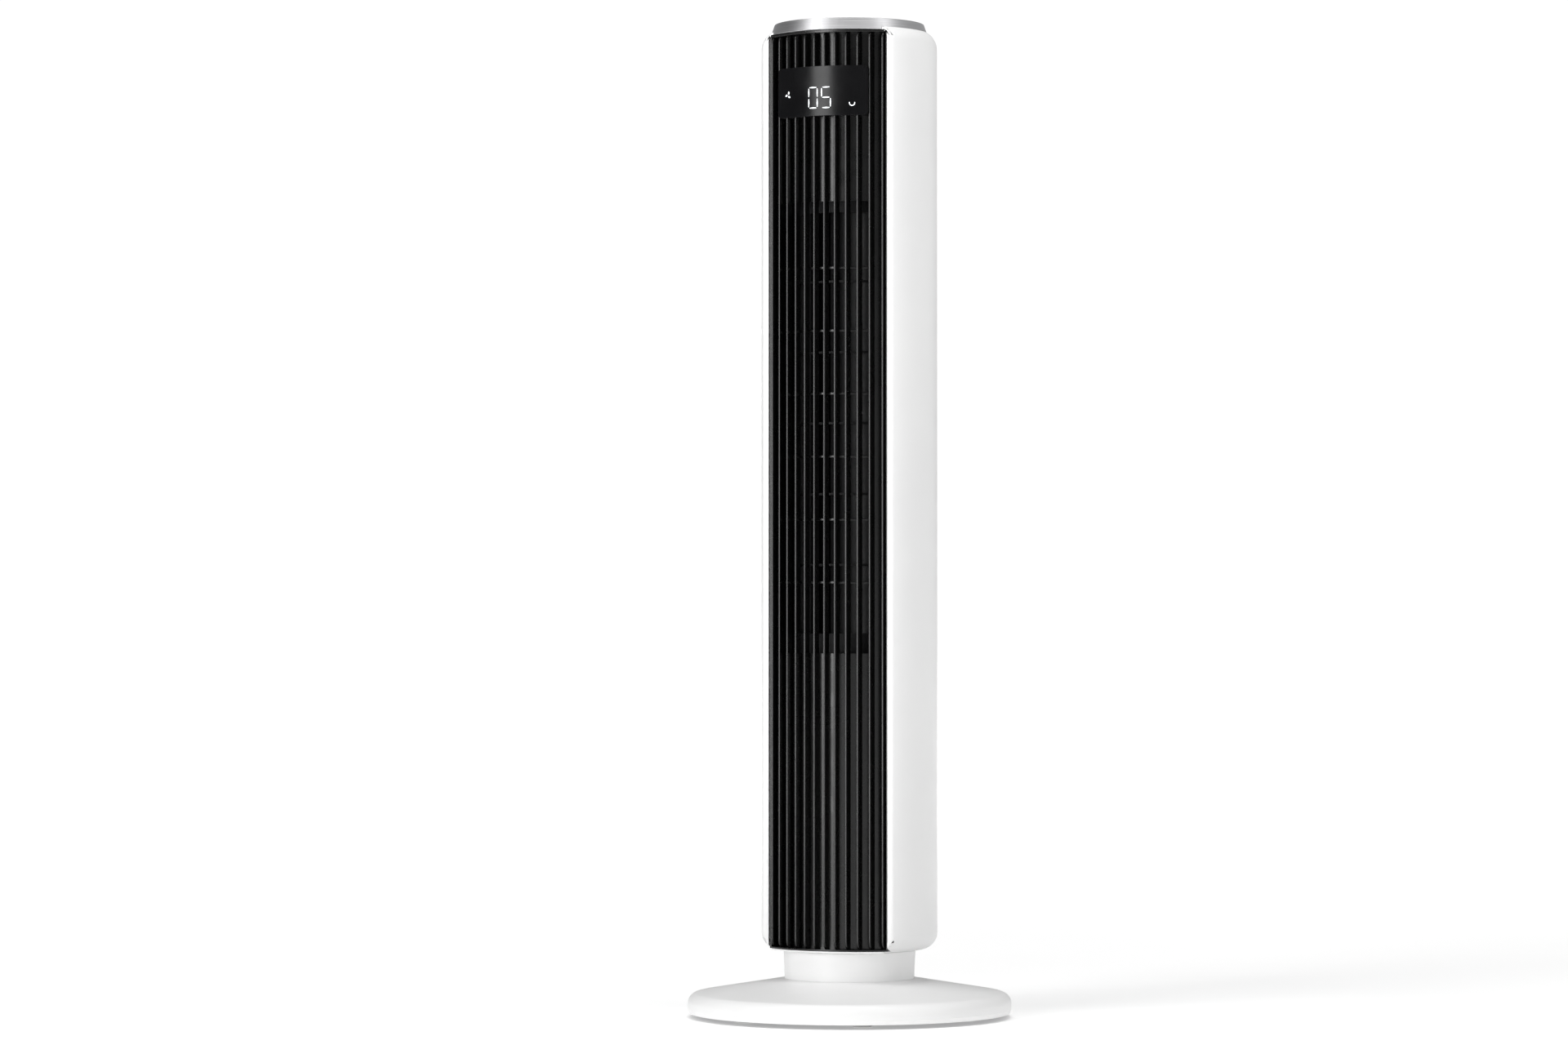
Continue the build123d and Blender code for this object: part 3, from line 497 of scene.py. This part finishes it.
cut(shell, slab("bay", (-BAY_HALF, -FAR, BAY_LOW), (BAY_HALF, BAY_BACK, BAY_HIGH)),
    slab("mouth", (0.2 - BAY_HALF, -FAR, 50), (BAY_HALF - 0.2, -FRONT + 3, 70)),
    slab("grip", (-GRIP_HALF, 60, GRIP_LOW), (GRIP_HALF, FAR, GRIP_HIGH)),
    bent_panel("back_window", 90, 0, 90 * sin(radians(54)), (330, 770), 30, front=False))
edit(shell)
rim_edges = choose(shell, "EDGE", outside)
bpy.ops.mesh.bevel(offset=RIM_BEVEL * MM, segments=4, affect="EDGES", clamp_overlap=False)
leave()
tidy_mesh(shell)
flanges = []
for side in (-1, 1):
    x_low, x_high = sorted((side * BAY_HALF, side * FLANGE_OUT))
    flanges.append(slab("flange", (x_low, -FRONT + 0.02, FLANGE_LOW), (x_high, -FRONT + 3, FLANGE_HIGH)))
    soften(flanges[-1], 0.3, 2)
print("shell cut, rim edges rounded:", rim_edges)

# %% [markdown]
# ## Ledge for the intake panel
# The intake panel at the back rests on a ledge inside the shell's window. The ledge is a bent
# frame, so it is made as a panel is, with one large window, and joined to the shell.

# %% Ledge for the intake
ledge_r = BODY_R - WALL - 0.05
open_half = ledge_r * sin(radians(49))
ledge = bent_panel("ledge", ledge_r, 0, ledge_r * sin(radians(57)), (324, 337, 763, 776), 3.0,
                   front=False, windows=[(-open_half, open_half, 337, 763)])
shell = join("tower_shell", [shell, ledge] + flanges)
smooth(shell)
done(shell, "tower", "rear_shell")

# %% [markdown]
# ## Ribbed grille
# The black front is one moulding: a bent wall with a tall window, twelve upright fins in front
# of it, six thin cross bars behind the fins, and a cap at each end. A fin is modelled once, with
# its ends rolled back into the wall and its tip rounded, so each one catches a fine line of
# light. It is copied to every place on the curve, and its back is pulled to reach the wall there.

# %% Wall, caps and cross bars
CURVE, CREST, HALF = 95.0, 68.3, 59.6
CURVE_Y = CURVE - CREST
LOW, HIGH = 64.5, 907.5
GROOVE = 8.5
OUT_LOW, OUT_HIGH, OUT_HALF = 337.0, 752.0, 46.0
LOOK_LOW, LOOK_HIGH, LOOK_HALF = 833.0, 872.5, 41.0
LIP_HALF, LIP_HIGH = 57.3, HIGH + 1.45
BARS, BAR_FIRST, BAR_STEP, BAR_HALF = 6, 402.0, 57.8, 1.1


def curve_y(x, inset=0.0):
    """How far back the grille's curve lies at x."""
    return CURVE_Y - sqrt((CURVE - inset) ** 2 - x * x)


wall = bent_panel("wall", CURVE - GROOVE, CURVE_Y, HALF - 0.02,
                  (LOW + 0.3, OUT_LOW, OUT_HIGH, LOOK_LOW, LOOK_HIGH, HIGH - 0.3), 2.0,
                  windows=[(-OUT_HALF, OUT_HALF, OUT_LOW, OUT_HIGH),
                           (-LOOK_HALF, LOOK_HALF, LOOK_LOW, LOOK_HIGH)])
soften(wall, 0.25, 2, 60)
caps = [bent_panel("cap", CURVE - 0.6, CURVE_Y, HALF, (LOW, LOW + 1.6), 10.9),
        bent_panel("cap", CURVE - 1.4, CURVE_Y, HALF, (HIGH - 0.8, HIGH), 10.1),
        bent_panel("lip", CURVE + 0.5, CURVE_Y, LIP_HALF, (HIGH - 0.5, LIP_HIGH), 0.45)]
bars = []
for i in range(BARS):
    level = BAR_FIRST + BAR_STEP * i
    bar = bent_panel("bar", CURVE - GROOVE + 0.1, CURVE_Y, OUT_HALF + 1,
                     (level - BAR_HALF, level + BAR_HALF), 3.0)
    soften(bar, 0.4, 2, 60)
    bars.append(bar)
for cap in caps:
    soften(cap, 0.25, 2, 60)
cheeks = []
for side in (-1, 1):
    x_low, x_high = sorted((side * (HALF - 2), side * HALF))
    cheek = slab("cheek", (x_low, curve_y(HALF) + 0.2, LOW), (x_high, -33, HIGH))
    soften(cheek, 0.5, 2)
    cheeks.append(cheek)
print("wall, caps, bars and cheeks:", 1 + len(caps) + len(bars) + len(cheeks))

# %% [markdown]
# ## Fins
# One fin is a block as tall as the grille. Both its front ends are rolled back, its tip is
# rounded, and it is copied along the curve. The fins that cross the display are cut short there.

# %% The fins
FIN, FINS, FIN_STEP, FIN_DEEP = 2.0, 12, 10.1, 10.0
POCKET_HALF, POCKET_LOW, POCKET_HIGH = 44.7, 829.8, 875.7
fin = slab("fin", (-FIN / 2, 0, LOW + 0.1), (FIN / 2, FIN_DEEP, HIGH - 0.1))
edit(fin)
choose(fin, "EDGE", lambda m, e: m.y < 0.1 and m.z < LOW + 1 and abs(m.x) < 0.1)
bpy.ops.mesh.bevel(offset=9 * MM, segments=12, affect="EDGES")
choose(fin, "EDGE", lambda m, e: m.y < 0.1 and m.z > HIGH - 1 and abs(m.x) < 0.1)
bpy.ops.mesh.bevel(offset=6 * MM, segments=10, affect="EDGES")
leave()
soften(fin, 0.75, 4)
fins = []
for i in range(FINS):
    x = (i - (FINS - 1) / 2) * FIN_STEP
    rib = twin(fin, "rib")
    move(rib, x, curve_y(x), 0)
    edit(rib)
    choose(rib, "VERT", lambda m, v: m.y > curve_y(x) + FIN_DEEP - 0.5)
    reach = curve_y(x, GROOVE) + 0.6 - (curve_y(x) + FIN_DEEP)
    bpy.ops.transform.translate(value=(0, reach * MM, 0))
    leave()
    if abs(x) < POCKET_HALF + FIN:
        cut(rib, slab("pocket", (-POCKET_HALF, -FAR, POCKET_LOW), (POCKET_HALF, 0, POCKET_HIGH)))
    fins.append(rib)
bpy.data.objects.remove(fin)
grille = join("ribbed_grille", [wall] + caps + bars + cheeks + fins)
smooth(grille)
done(grille, "tower", "front_grille")

# %% [markdown]
# ## Display
# A polished black window stands a little proud of the fins and follows their curve. Rounding
# the corners of a bent sheet is fiddly, so a bent panel is made too large and trimmed by a flat
# block with round corners, as a press would trim it.

# %% The window
GLASS_R = CURVE + 2.7
GLASS_LOW, GLASS_HIGH, GLASS_HALF, GLASS_ROUND = 830.0, 875.5, 44.5, 3.5
GLASS_MID = (GLASS_LOW + GLASS_HIGH) / 2
glass = bent_panel("display_glass", GLASS_R, CURVE_Y, GLASS_HALF + 2,
                   (GLASS_LOW - 2, GLASS_HIGH + 2), 1.8)
face_shape = slab("face_shape", (-GLASS_HALF, -80, GLASS_LOW), (GLASS_HALF, -40, GLASS_HIGH))
edit(face_shape)
corners = choose(face_shape, "EDGE", lambda m, e: abs(m.x) > GLASS_HALF - 0.5 and abs(m.y + 60) < 1
                 and abs(m.z - GLASS_MID) > 20)
bpy.ops.mesh.bevel(offset=GLASS_ROUND * MM, segments=10, affect="EDGES")
leave()
apply(glass, "BOOLEAN", operation="INTERSECT", solver="EXACT", object=face_shape)
bpy.data.objects.remove(face_shape)
soften(glass, 0.7, 4, 50)
smooth(glass)
print("rounded corners:", corners)
done(glass, "tower", "display_window")

# %% [markdown]
# ## Digits and lamps
# Two digits and two small lamps shine through the window. They are thin shapes a hair in front
# of the glass, so they stay crisp from any side. Every bar of a digit is the same hexagon,
# pulled out to its length. A swing lamp is half a ring, and a fan lamp is three round blades.

# %% Digits and lamps
def glass_y(x):
    return CURVE_Y - sqrt(GLASS_R ** 2 - x * x)


def on_glass(piece, name, x, z, turn=0.0):
    """Copy a flat mark made about the origin, facing front, onto the window."""
    copy = twin(piece, name)
    lean = asin(x / GLASS_R)
    copy.matrix_world = (Matrix.Translation((x * MM, glass_y(x) * MM, z * MM)) @ Matrix.Rotation(lean, 4, "Z")
                         @ Matrix.Rotation(turn, 4, "Y"))
    bpy.ops.object.transform_apply(location=True, rotation=True, scale=True)
    return copy


STROKE, DIGIT_W, DIGIT_H, DIGIT_Z, BAR_GAP = 0.58, 8.6, 18.8, 846.6, 1.7
SWING_AT, FAN_AT = (32.3, 841.0), (-32.2, 850.6)
deselect()
bpy.ops.mesh.primitive_cylinder_add(vertices=6, radius=STROKE * MM, depth=0.3 * MM, rotation=(pi / 2, 0, 0))
stroke = named("stroke")
marks = []


def stroke_of(length):
    """A six-sided bar of a digit, pulled out from a hexagon."""
    bar = twin(stroke, "stroke")
    edit(bar)
    for side in (-1, 1):
        choose(bar, "VERT", lambda m, v: m.x * side > 0.2 * STROKE)
        bpy.ops.transform.translate(value=(side * (length / 2 - STROKE) * MM, 0, 0))
    leave()
    return bar


flat_bar = stroke_of(DIGIT_W - BAR_GAP)
tall_bar = stroke_of(DIGIT_H / 2 - BAR_GAP)
SEGMENTS = {"0": "abcdef", "5": "afgcd"}
PLACES = {"a": (0, 1, 0), "g": (0, 0, 0), "d": (0, -1, 0), "f": (-1, 0.5, 1), "b": (1, 0.5, 1),
          "e": (-1, -0.5, 1), "c": (1, -0.5, 1)}
for digit, x in (("0", -4.6), ("5", 8.3)):
    for segment in SEGMENTS[digit]:
        across, up, upright = PLACES[segment]
        bar = tall_bar if upright else flat_bar
        marks.append(on_glass(bar, "bar_" + segment, x + across * DIGIT_W / 2,
                              DIGIT_Z + up * DIGIT_H / 2, pi / 2 if upright else 0))
deselect()
bpy.ops.mesh.primitive_torus_add(major_radius=2.45 * MM, minor_radius=0.4 * MM, major_segments=32,
                                 minor_segments=8, rotation=(pi / 2, 0, 0))
smile = named("smile")
bisect(smile, (0, 0, 0.6), (0, 0, 1), side="outer", fill=True)
marks.append(on_glass(smile, "swing_lamp", *SWING_AT))
deselect()
bpy.ops.mesh.primitive_uv_sphere_add(segments=16, ring_count=8, radius=1 * MM)
petal = named("petal")
edit(petal)
bpy.ops.transform.resize(value=(0.85, 0.2, 1.45), center_override=(0, 0, 0))
bpy.ops.transform.translate(value=(0.75 * MM, 0, 1.95 * MM))
leave()
for i in range(3):
    marks.append(on_glass(petal, "fan_lamp", *FAN_AT, 2 * pi / 3 * i))
for scrap in (stroke, flat_bar, tall_bar, smile, petal):
    bpy.data.objects.remove(scrap)
lights = join("display_lights", marks)
tidy_mesh(lights)
smooth(lights)

lit, nodes, links, shader, where = start_material("lit_marks")
fine, coarse = noise(nodes, links, where, 300, 2), noise(nodes, links, where, 120, 2)
links.new(two_tones(nodes, links, fine, (0.80, 0.84, 0.86), (0.92, 0.95, 0.96)),
          shader.inputs["Base Color"])
links.new(two_tones(nodes, links, coarse, (0.80, 0.86, 0.90), (1.0, 1.0, 1.0)),
          shader.inputs["Emission Color"])
shader.inputs["Emission Strength"].default_value = 0.9
shader.inputs["Roughness"].default_value = 0.4
lights.data.materials.clear()
lights.data.materials.append(lit)
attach(lights, "tower")
print("display lights:", len(marks), "marks")

# %% [markdown]
# ## Brushed ring
# A steel ring leans inwards around the top. It is turned, its edges are broken with a small
# bevel, and its brushing runs around it: a noise that is drawn out sideways and squeezed in height.

# %% The ring
outline = rounded([(RING_IN, RING_LOW), (RING_OUT, RING_LOW), (RING_LEAN, RING_TOP), (RING_IN, RING_TOP)],
                  [0, 0.25, 0.3, 0.3], 4)
ring = lathe("brushed_ring", outline, 224)
smooth(ring, 25)
done(ring, "tower", "trim_ring")

# %% [markdown]
# ## Base cover
# The base is a shallow cone with a soft shoulder and an upright rim that stands on short feet.
# It is turned in one go from the outline of its wall, inside and out, so it is a closed shell as
# the moulding is. Only the round hole for the cord is cut afterwards.

# %% Base cover
SEAT, CONE_RIM, CONE_TOP, BASE_R, NECK_R = 34.6, 21.2, 36.1, 150.0, 59.9


def cone(radius):
    return CONE_RIM + (CONE_TOP - CONE_RIM) / (BASE_R - NECK_R) * (BASE_R - radius)


foot = NECK_R + 0.3
wall_r = BASE_R - WALL
CORD_R, CORD_HEIGHT = 4.7, 13.0
outline = rounded([(BASE_R - 1.2, 4), (BASE_R, 8), (BASE_R, CONE_RIM), (foot, cone(foot)), (foot, SEAT),
                   (42.3, SEAT), (42.3, SEAT - 2.8), (foot, SEAT - 2.8), (wall_r, cone(wall_r) - WALL),
                   (wall_r, 4)], [0.5, 3, 10, 0.5, 0, 0, 0, 0, 7.4, 0], 10)
dome = lathe("base_dome", outline, 224)
deselect()
bpy.ops.mesh.primitive_cylinder_add(vertices=48, radius=CORD_R * MM, depth=30 * MM,
                                    location=(0, BASE_R * MM, CORD_HEIGHT * MM), rotation=(pi / 2, 0, 0))
cut(dome, named("cord_hole"))
smooth(dome)
done(dome, "base", "base_cover")

# %% [markdown]
# ## Neck
# The neck rises from a flat seat in the middle of the base and widens a little towards the
# tower. Its outline also carries the inner wall and the floor that hold the ball race. Two short
# posts stand inside it and stop the swivel at its ends.

# %% Neck
POST_R, POST_TALL, POST_AT, POST_MID, POST_TURN = 2.8, 7.6, 21.0, 42.2, 62
outline = rounded([(16.3, SEAT), (38, SEAT), (38, 20), (42, 20), (42, SEAT), (NECK_R, SEAT), (61.2, 62.4),
                   (58, 62.4), (58, 47.5), (39, 47.5), (39, 38.6), (16.3, 38.6)],
                  [0, 0, 0, 0, 0, 0.4, 0.8, 0.5, 0, 0, 0, 0], 5)
neck = lathe("swivel_neck", outline, 192)
posts = []
for side in (-1, 1):
    angle = radians(-90 + side * POST_TURN)
    deselect()
    bpy.ops.mesh.primitive_cylinder_add(
        vertices=32, radius=POST_R * MM, depth=POST_TALL * MM,
        location=(POST_AT * cos(angle) * MM, POST_AT * sin(angle) * MM, POST_MID * MM))
    post = named("post")
    soften(post, 0.4, 3)
    posts.append(post)
neck = join("swivel_neck", [neck] + posts)
smooth(neck)
done(neck, "base", "neck")

# %% [markdown]
# ## Intake panel
# The back of the tower draws air through rows of upright slots. Cutting 136 slots one by one
# would be slow and rough. Spinning one upright line of points, whose steps match the slots, gives
# a neat grid instead, and the faces of the slots are then simply deleted.

# %% Intake panel
SLOTS, ROWS, SPREAD = 17, 8, radians(96)
STEP = SPREAD / SLOTS
ROW_LOW, ROW_HIGH, RAIL, SLOT_LEFT = 338.3, 761.7, 1.2, 0.2
INTAKE_LOW, INTAKE_HIGH = 330.3, 769.7
SCREW_R, SCREW_AT, SCREW_TURN, SCREW_LEVELS = 2.9, 83.2, radians(51.4), (333.6, 766.4)
row_height = (ROW_HIGH - ROW_LOW) / ROWS
levels = [INTAKE_LOW]
for j in range(ROWS):
    levels += [ROW_LOW + j * row_height + RAIL, ROW_LOW + (j + 1) * row_height - RAIL]
levels.append(INTAKE_HIGH)
first = -(SLOTS + 2) / 2 * STEP
deselect()
bpy.ops.mesh.primitive_plane_add(
    size=2 * MM, location=(BODY_R * sin(first) * MM, BODY_R * cos(first) * MM, levels[0] * MM))
intake = named("intake_louvre")
edit(intake)
bpy.ops.mesh.merge(type="CENTER")
for low, high in zip(levels, levels[1:]):
    bpy.ops.mesh.extrude_vertices_move(TRANSFORM_OT_translate={"value": (0, 0, (high - low) * MM)})
bpy.ops.mesh.select_all(action="SELECT")
bpy.ops.mesh.spin(steps=(SLOTS + 2) * 5, angle=(SLOTS + 2) * STEP, center=(0, 0, 0), axis=(0, 0, 1))
leave()


def in_slot(middle, face):
    """Does this face of the grid lie in a slot?"""
    turn = atan2(middle.x, middle.y) / STEP + SLOTS / 2
    rise = (middle.z - ROW_LOW) / row_height
    if not (0 < turn < SLOTS and 0 < rise < ROWS):
        return False
    rail = RAIL / row_height
    return SLOT_LEFT < turn % 1 < 1 - SLOT_LEFT and rail < rise % 1 < 1 - rail


edit(intake)
slot_faces = choose(intake, "FACE", in_slot)
bpy.ops.mesh.delete(type="FACE")
tidy_sheet(intake)
apply(intake, "SOLIDIFY", thickness=2.5 * MM, offset=-1)
soften(intake, 0.35, 2, 60)
for side in (-1, 1):
    for level in SCREW_LEVELS:
        angle = SCREW_TURN * side
        deselect()
        bpy.ops.mesh.primitive_cylinder_add(
            vertices=32, radius=SCREW_R * MM, depth=6 * MM, rotation=(pi / 2, 0, -angle),
            location=(SCREW_AT * sin(angle) * MM, SCREW_AT * cos(angle) * MM, level * MM))
        cut(intake, named("screw_seat"))
smooth(intake)
done(intake, "tower", "intake_grille")
print("slot faces removed:", slot_faces)

# %% [markdown]
# ## Buttons
# Five round buttons on top. Each cap is turned with a shallow dish for the fingertip, and carries
# a small raised sign that anyone knows: a power sign, a plus, a crescent, a clock and a swing arc.

# %% Button caps and their signs
CIRCLE = 30 * sqrt(0.5)
BUTTONS = {"power_button": (0, 0, 11.0), "speed_button": (CIRCLE, -CIRCLE, 8.0),
           "swing_button": (CIRCLE, CIRCLE, 8.0), "timer_button": (-CIRCLE, CIRCLE, 8.0),
           "mode_button": (-CIRCLE, -CIRCLE, 8.0)}
TOP, DISH, COLLAR, COLLAR_LOW, COLLAR_TOP = 919.1, 0.35, 1.2, 913.45, 914.45
SIGN_R, SIGN_SUNK = 0.28, 0.30


def ring_sign(radius, gap_at=None, gap=0.0):
    """A thin ring lying flat, with part of it left out on one side."""
    deselect()
    bpy.ops.mesh.primitive_torus_add(major_radius=radius * MM, minor_radius=SIGN_R * MM, major_segments=40,
                                     minor_segments=8)
    sign = named("ring_sign")
    if gap_at:
        edit(sign)
        way = Vector(gap_at)
        choose(sign, "VERT", lambda m, v: Vector((m.x, m.y)).angle(way, 0) < gap)
        bpy.ops.mesh.delete(type="VERT")
        leave()
        tidy_mesh(sign)
    return sign


def bar_sign(x0, y0, x1, y1):
    """A short round-ended line lying flat."""
    deselect()
    length = sqrt((x1 - x0) ** 2 + (y1 - y0) ** 2)
    bpy.ops.mesh.primitive_cylinder_add(vertices=12, radius=SIGN_R * MM, depth=length * MM,
                                        rotation=(pi / 2, 0, atan2(y1 - y0, x1 - x0) - pi / 2),
                                        location=((x0 + x1) / 2 * MM, (y0 + y1) / 2 * MM, 0))
    sign = named("bar_sign")
    soften(sign, 0.1, 2)
    return sign


SIGNS = {
    "power_button": lambda: [ring_sign(3.4, (0, 1), 0.5), bar_sign(0, 1.4, 0, 4.0)],
    "speed_button": lambda: [bar_sign(-2.6, 0, 2.6, 0), bar_sign(0, -2.6, 0, 2.6)],
    "swing_button": lambda: [ring_sign(2.8, (0, 1), 1.5), bar_sign(-0.5, 0.6, 0.5, 0.6)],
    "timer_button": lambda: [ring_sign(2.8), bar_sign(0, 0, 0, 1.8), bar_sign(0, 0, 1.2, 0)],
    "mode_button": lambda: [ring_sign(2.8, (1, 0), 1.0), bar_sign(0.4, -1.2, 0.4, 1.2)],
}
for button, (x, y, radius) in BUTTONS.items():
    collar = radius + COLLAR
    outline = rounded([(1.0, TOP - DISH), (1.0, COLLAR_LOW), (collar, COLLAR_LOW), (collar, COLLAR_TOP),
                       (radius, COLLAR_TOP), (radius, TOP), (radius - 1.4, TOP), (radius - 2.4, TOP - DISH)],
                      [0, 0, 0, 0, 0, 0.45, 0.3, 0.3], 4)
    cap = lathe(button.replace("button", "cap"), outline, 96, loop=False)
    signs = SIGNS[button]()
    for sign in signs:
        move(sign, 0, 0, TOP - SIGN_SUNK)
    cap = join(cap.name, [cap] + signs)
    move(cap, x, y, 0)
    smooth(cap)
    done(cap, button + "_body", button)

# %% [markdown]
# ## Floor
# A wide pale floor, as in a product studio. It glows a little, and less so near the fan, so it
# runs into the white surround without an edge and still takes a soft shadow.

# %% Floor
FLOOR_RADIUS, FLOOR_DROP, POOL_RADIUS = 30.0, -0.0002, 4.0
deselect()
bpy.ops.mesh.primitive_circle_add(vertices=96, radius=FLOOR_RADIUS, fill_type="NGON",
                                  location=(0, 0, FLOOR_DROP))
floor = named("floor")
paper, nodes, links, shader, where = start_material("studio_paper")
mottle = noise(nodes, links, where, 1.5, 3)
links.new(two_tones(nodes, links, mottle, (0.90, 0.90, 0.90), (0.93, 0.93, 0.93)),
          shader.inputs["Base Color"])
pool = nodes.new("ShaderNodeTexGradient")
pool.gradient_type = "SPHERICAL"
spread = nodes.new("ShaderNodeMapping")
spread.inputs["Scale"].default_value = [1 / POOL_RADIUS] * 3
links.new(where, spread.inputs["Vector"])
links.new(spread.outputs["Vector"], pool.inputs["Vector"])
glow = two_tones(nodes, links, pool.outputs["Fac"], (1.0, 1.0, 1.0), (0.26, 0.26, 0.26), 0.0, 0.85)
links.new(glow, shader.inputs["Emission Color"])
shader.inputs["Emission Strength"].default_value = 1.0
shader.inputs["Roughness"].default_value = 0.9
shader.inputs["Specular IOR Level"].default_value = 0.1
grain(nodes, links, shader, noise(nodes, links, where, 300, 2), 0.1, 0.1)
floor.data.materials.append(paper)
print("floor radius", FLOOR_RADIUS, "m")

# %% [markdown]
# ## Surround
# The camera sees plain white behind the fan. What lights the fan is another sky: bright at the
# back right and dark at the front left, so that the black fins keep their depth.

# %% Surround
BRIGHT_SIDE = radians(138)
world = bpy.data.worlds.new("studio")
bpy.context.scene.world = world
world.use_nodes = True
nodes, links = world.node_tree.nodes, world.node_tree.links
nodes.clear()
out = nodes.new("ShaderNodeOutputWorld")
seen = nodes.new("ShaderNodeBackground")
seen.inputs["Color"].default_value = (1, 1, 1, 1)
seen.inputs["Strength"].default_value = 1.05
lit_by = nodes.new("ShaderNodeBackground")
lit_by.inputs["Strength"].default_value = 0.40
direction = nodes.new("ShaderNodeTexCoord")
along = nodes.new("ShaderNodeVectorMath")
along.operation = "DOT_PRODUCT"
along.inputs[1].default_value = (sin(BRIGHT_SIDE), -cos(BRIGHT_SIDE), 0.45)
links.new(direction.outputs["Generated"], along.inputs[0])
fade = nodes.new("ShaderNodeValToRGB")
fade.color_ramp.elements[0].color = (0.04, 0.04, 0.042, 1)
fade.color_ramp.elements[1].color = (1.0, 1.0, 1.0, 1)
shift = nodes.new("ShaderNodeMapRange")
shift.inputs["From Min"].default_value = -0.6
shift.inputs["From Max"].default_value = 0.7
links.new(along.outputs["Value"], shift.inputs["Value"])
links.new(shift.outputs["Result"], fade.inputs["Fac"])
links.new(fade.outputs["Color"], lit_by.inputs["Color"])
path = nodes.new("ShaderNodeLightPath")
mix = nodes.new("ShaderNodeMixShader")
links.new(path.outputs["Is Camera Ray"], mix.inputs["Fac"])
links.new(lit_by.outputs["Background"], mix.inputs[1])
links.new(seen.outputs["Background"], mix.inputs[2])
links.new(mix.outputs["Shader"], out.inputs["Surface"])
bpy.context.scene.view_settings.view_transform = "Standard"
print("surround ready")

# %% [markdown]
# ## Soft panels
# A tall soft panel to the left of the camera draws the light lines down the fins, and a second
# one on the right gives the satin shell its long highlight. Two higher ones do the same for the
# leaning ring, and one overhead lights the base.

# %% Soft panels
def panel(name, azimuth, elevation, distance, width, height, power, aim=0.5):
    """A soft panel at an angle round the fan, measured from its front, looking at its axis."""
    a, e = radians(azimuth), radians(elevation)
    place = Vector((sin(a) * cos(e), -cos(a) * cos(e), sin(e))) * distance + Vector((0, 0, aim))
    deselect()
    bpy.ops.object.light_add(type="AREA", location=place)
    light = bpy.context.object
    light.name = light.data.name = name
    light.data.shape = "RECTANGLE"
    light.data.size, light.data.size_y = width, height
    light.data.energy = power
    light.rotation_euler = (place - Vector((0, 0, aim))).to_track_quat("Z", "Y").to_euler()


panel("left_panel", -19, 4, 2.6, 0.9, 2.1, 47)
panel("right_panel", 74, 10, 2.4, 0.5, 2.2, 9)
panel("high_left", -34, 40, 2.4, 0.95, 0.5, 10, 0.9)
panel("high_right", 86, 40, 2.4, 0.45, 0.5, 4.5, 0.9)
panel("overhead", 20, 84, 2.6, 1.6, 1.6, 34, 0.3)
print("panels placed")

# %% [markdown]
# ## End

# %% End
print("scene done")
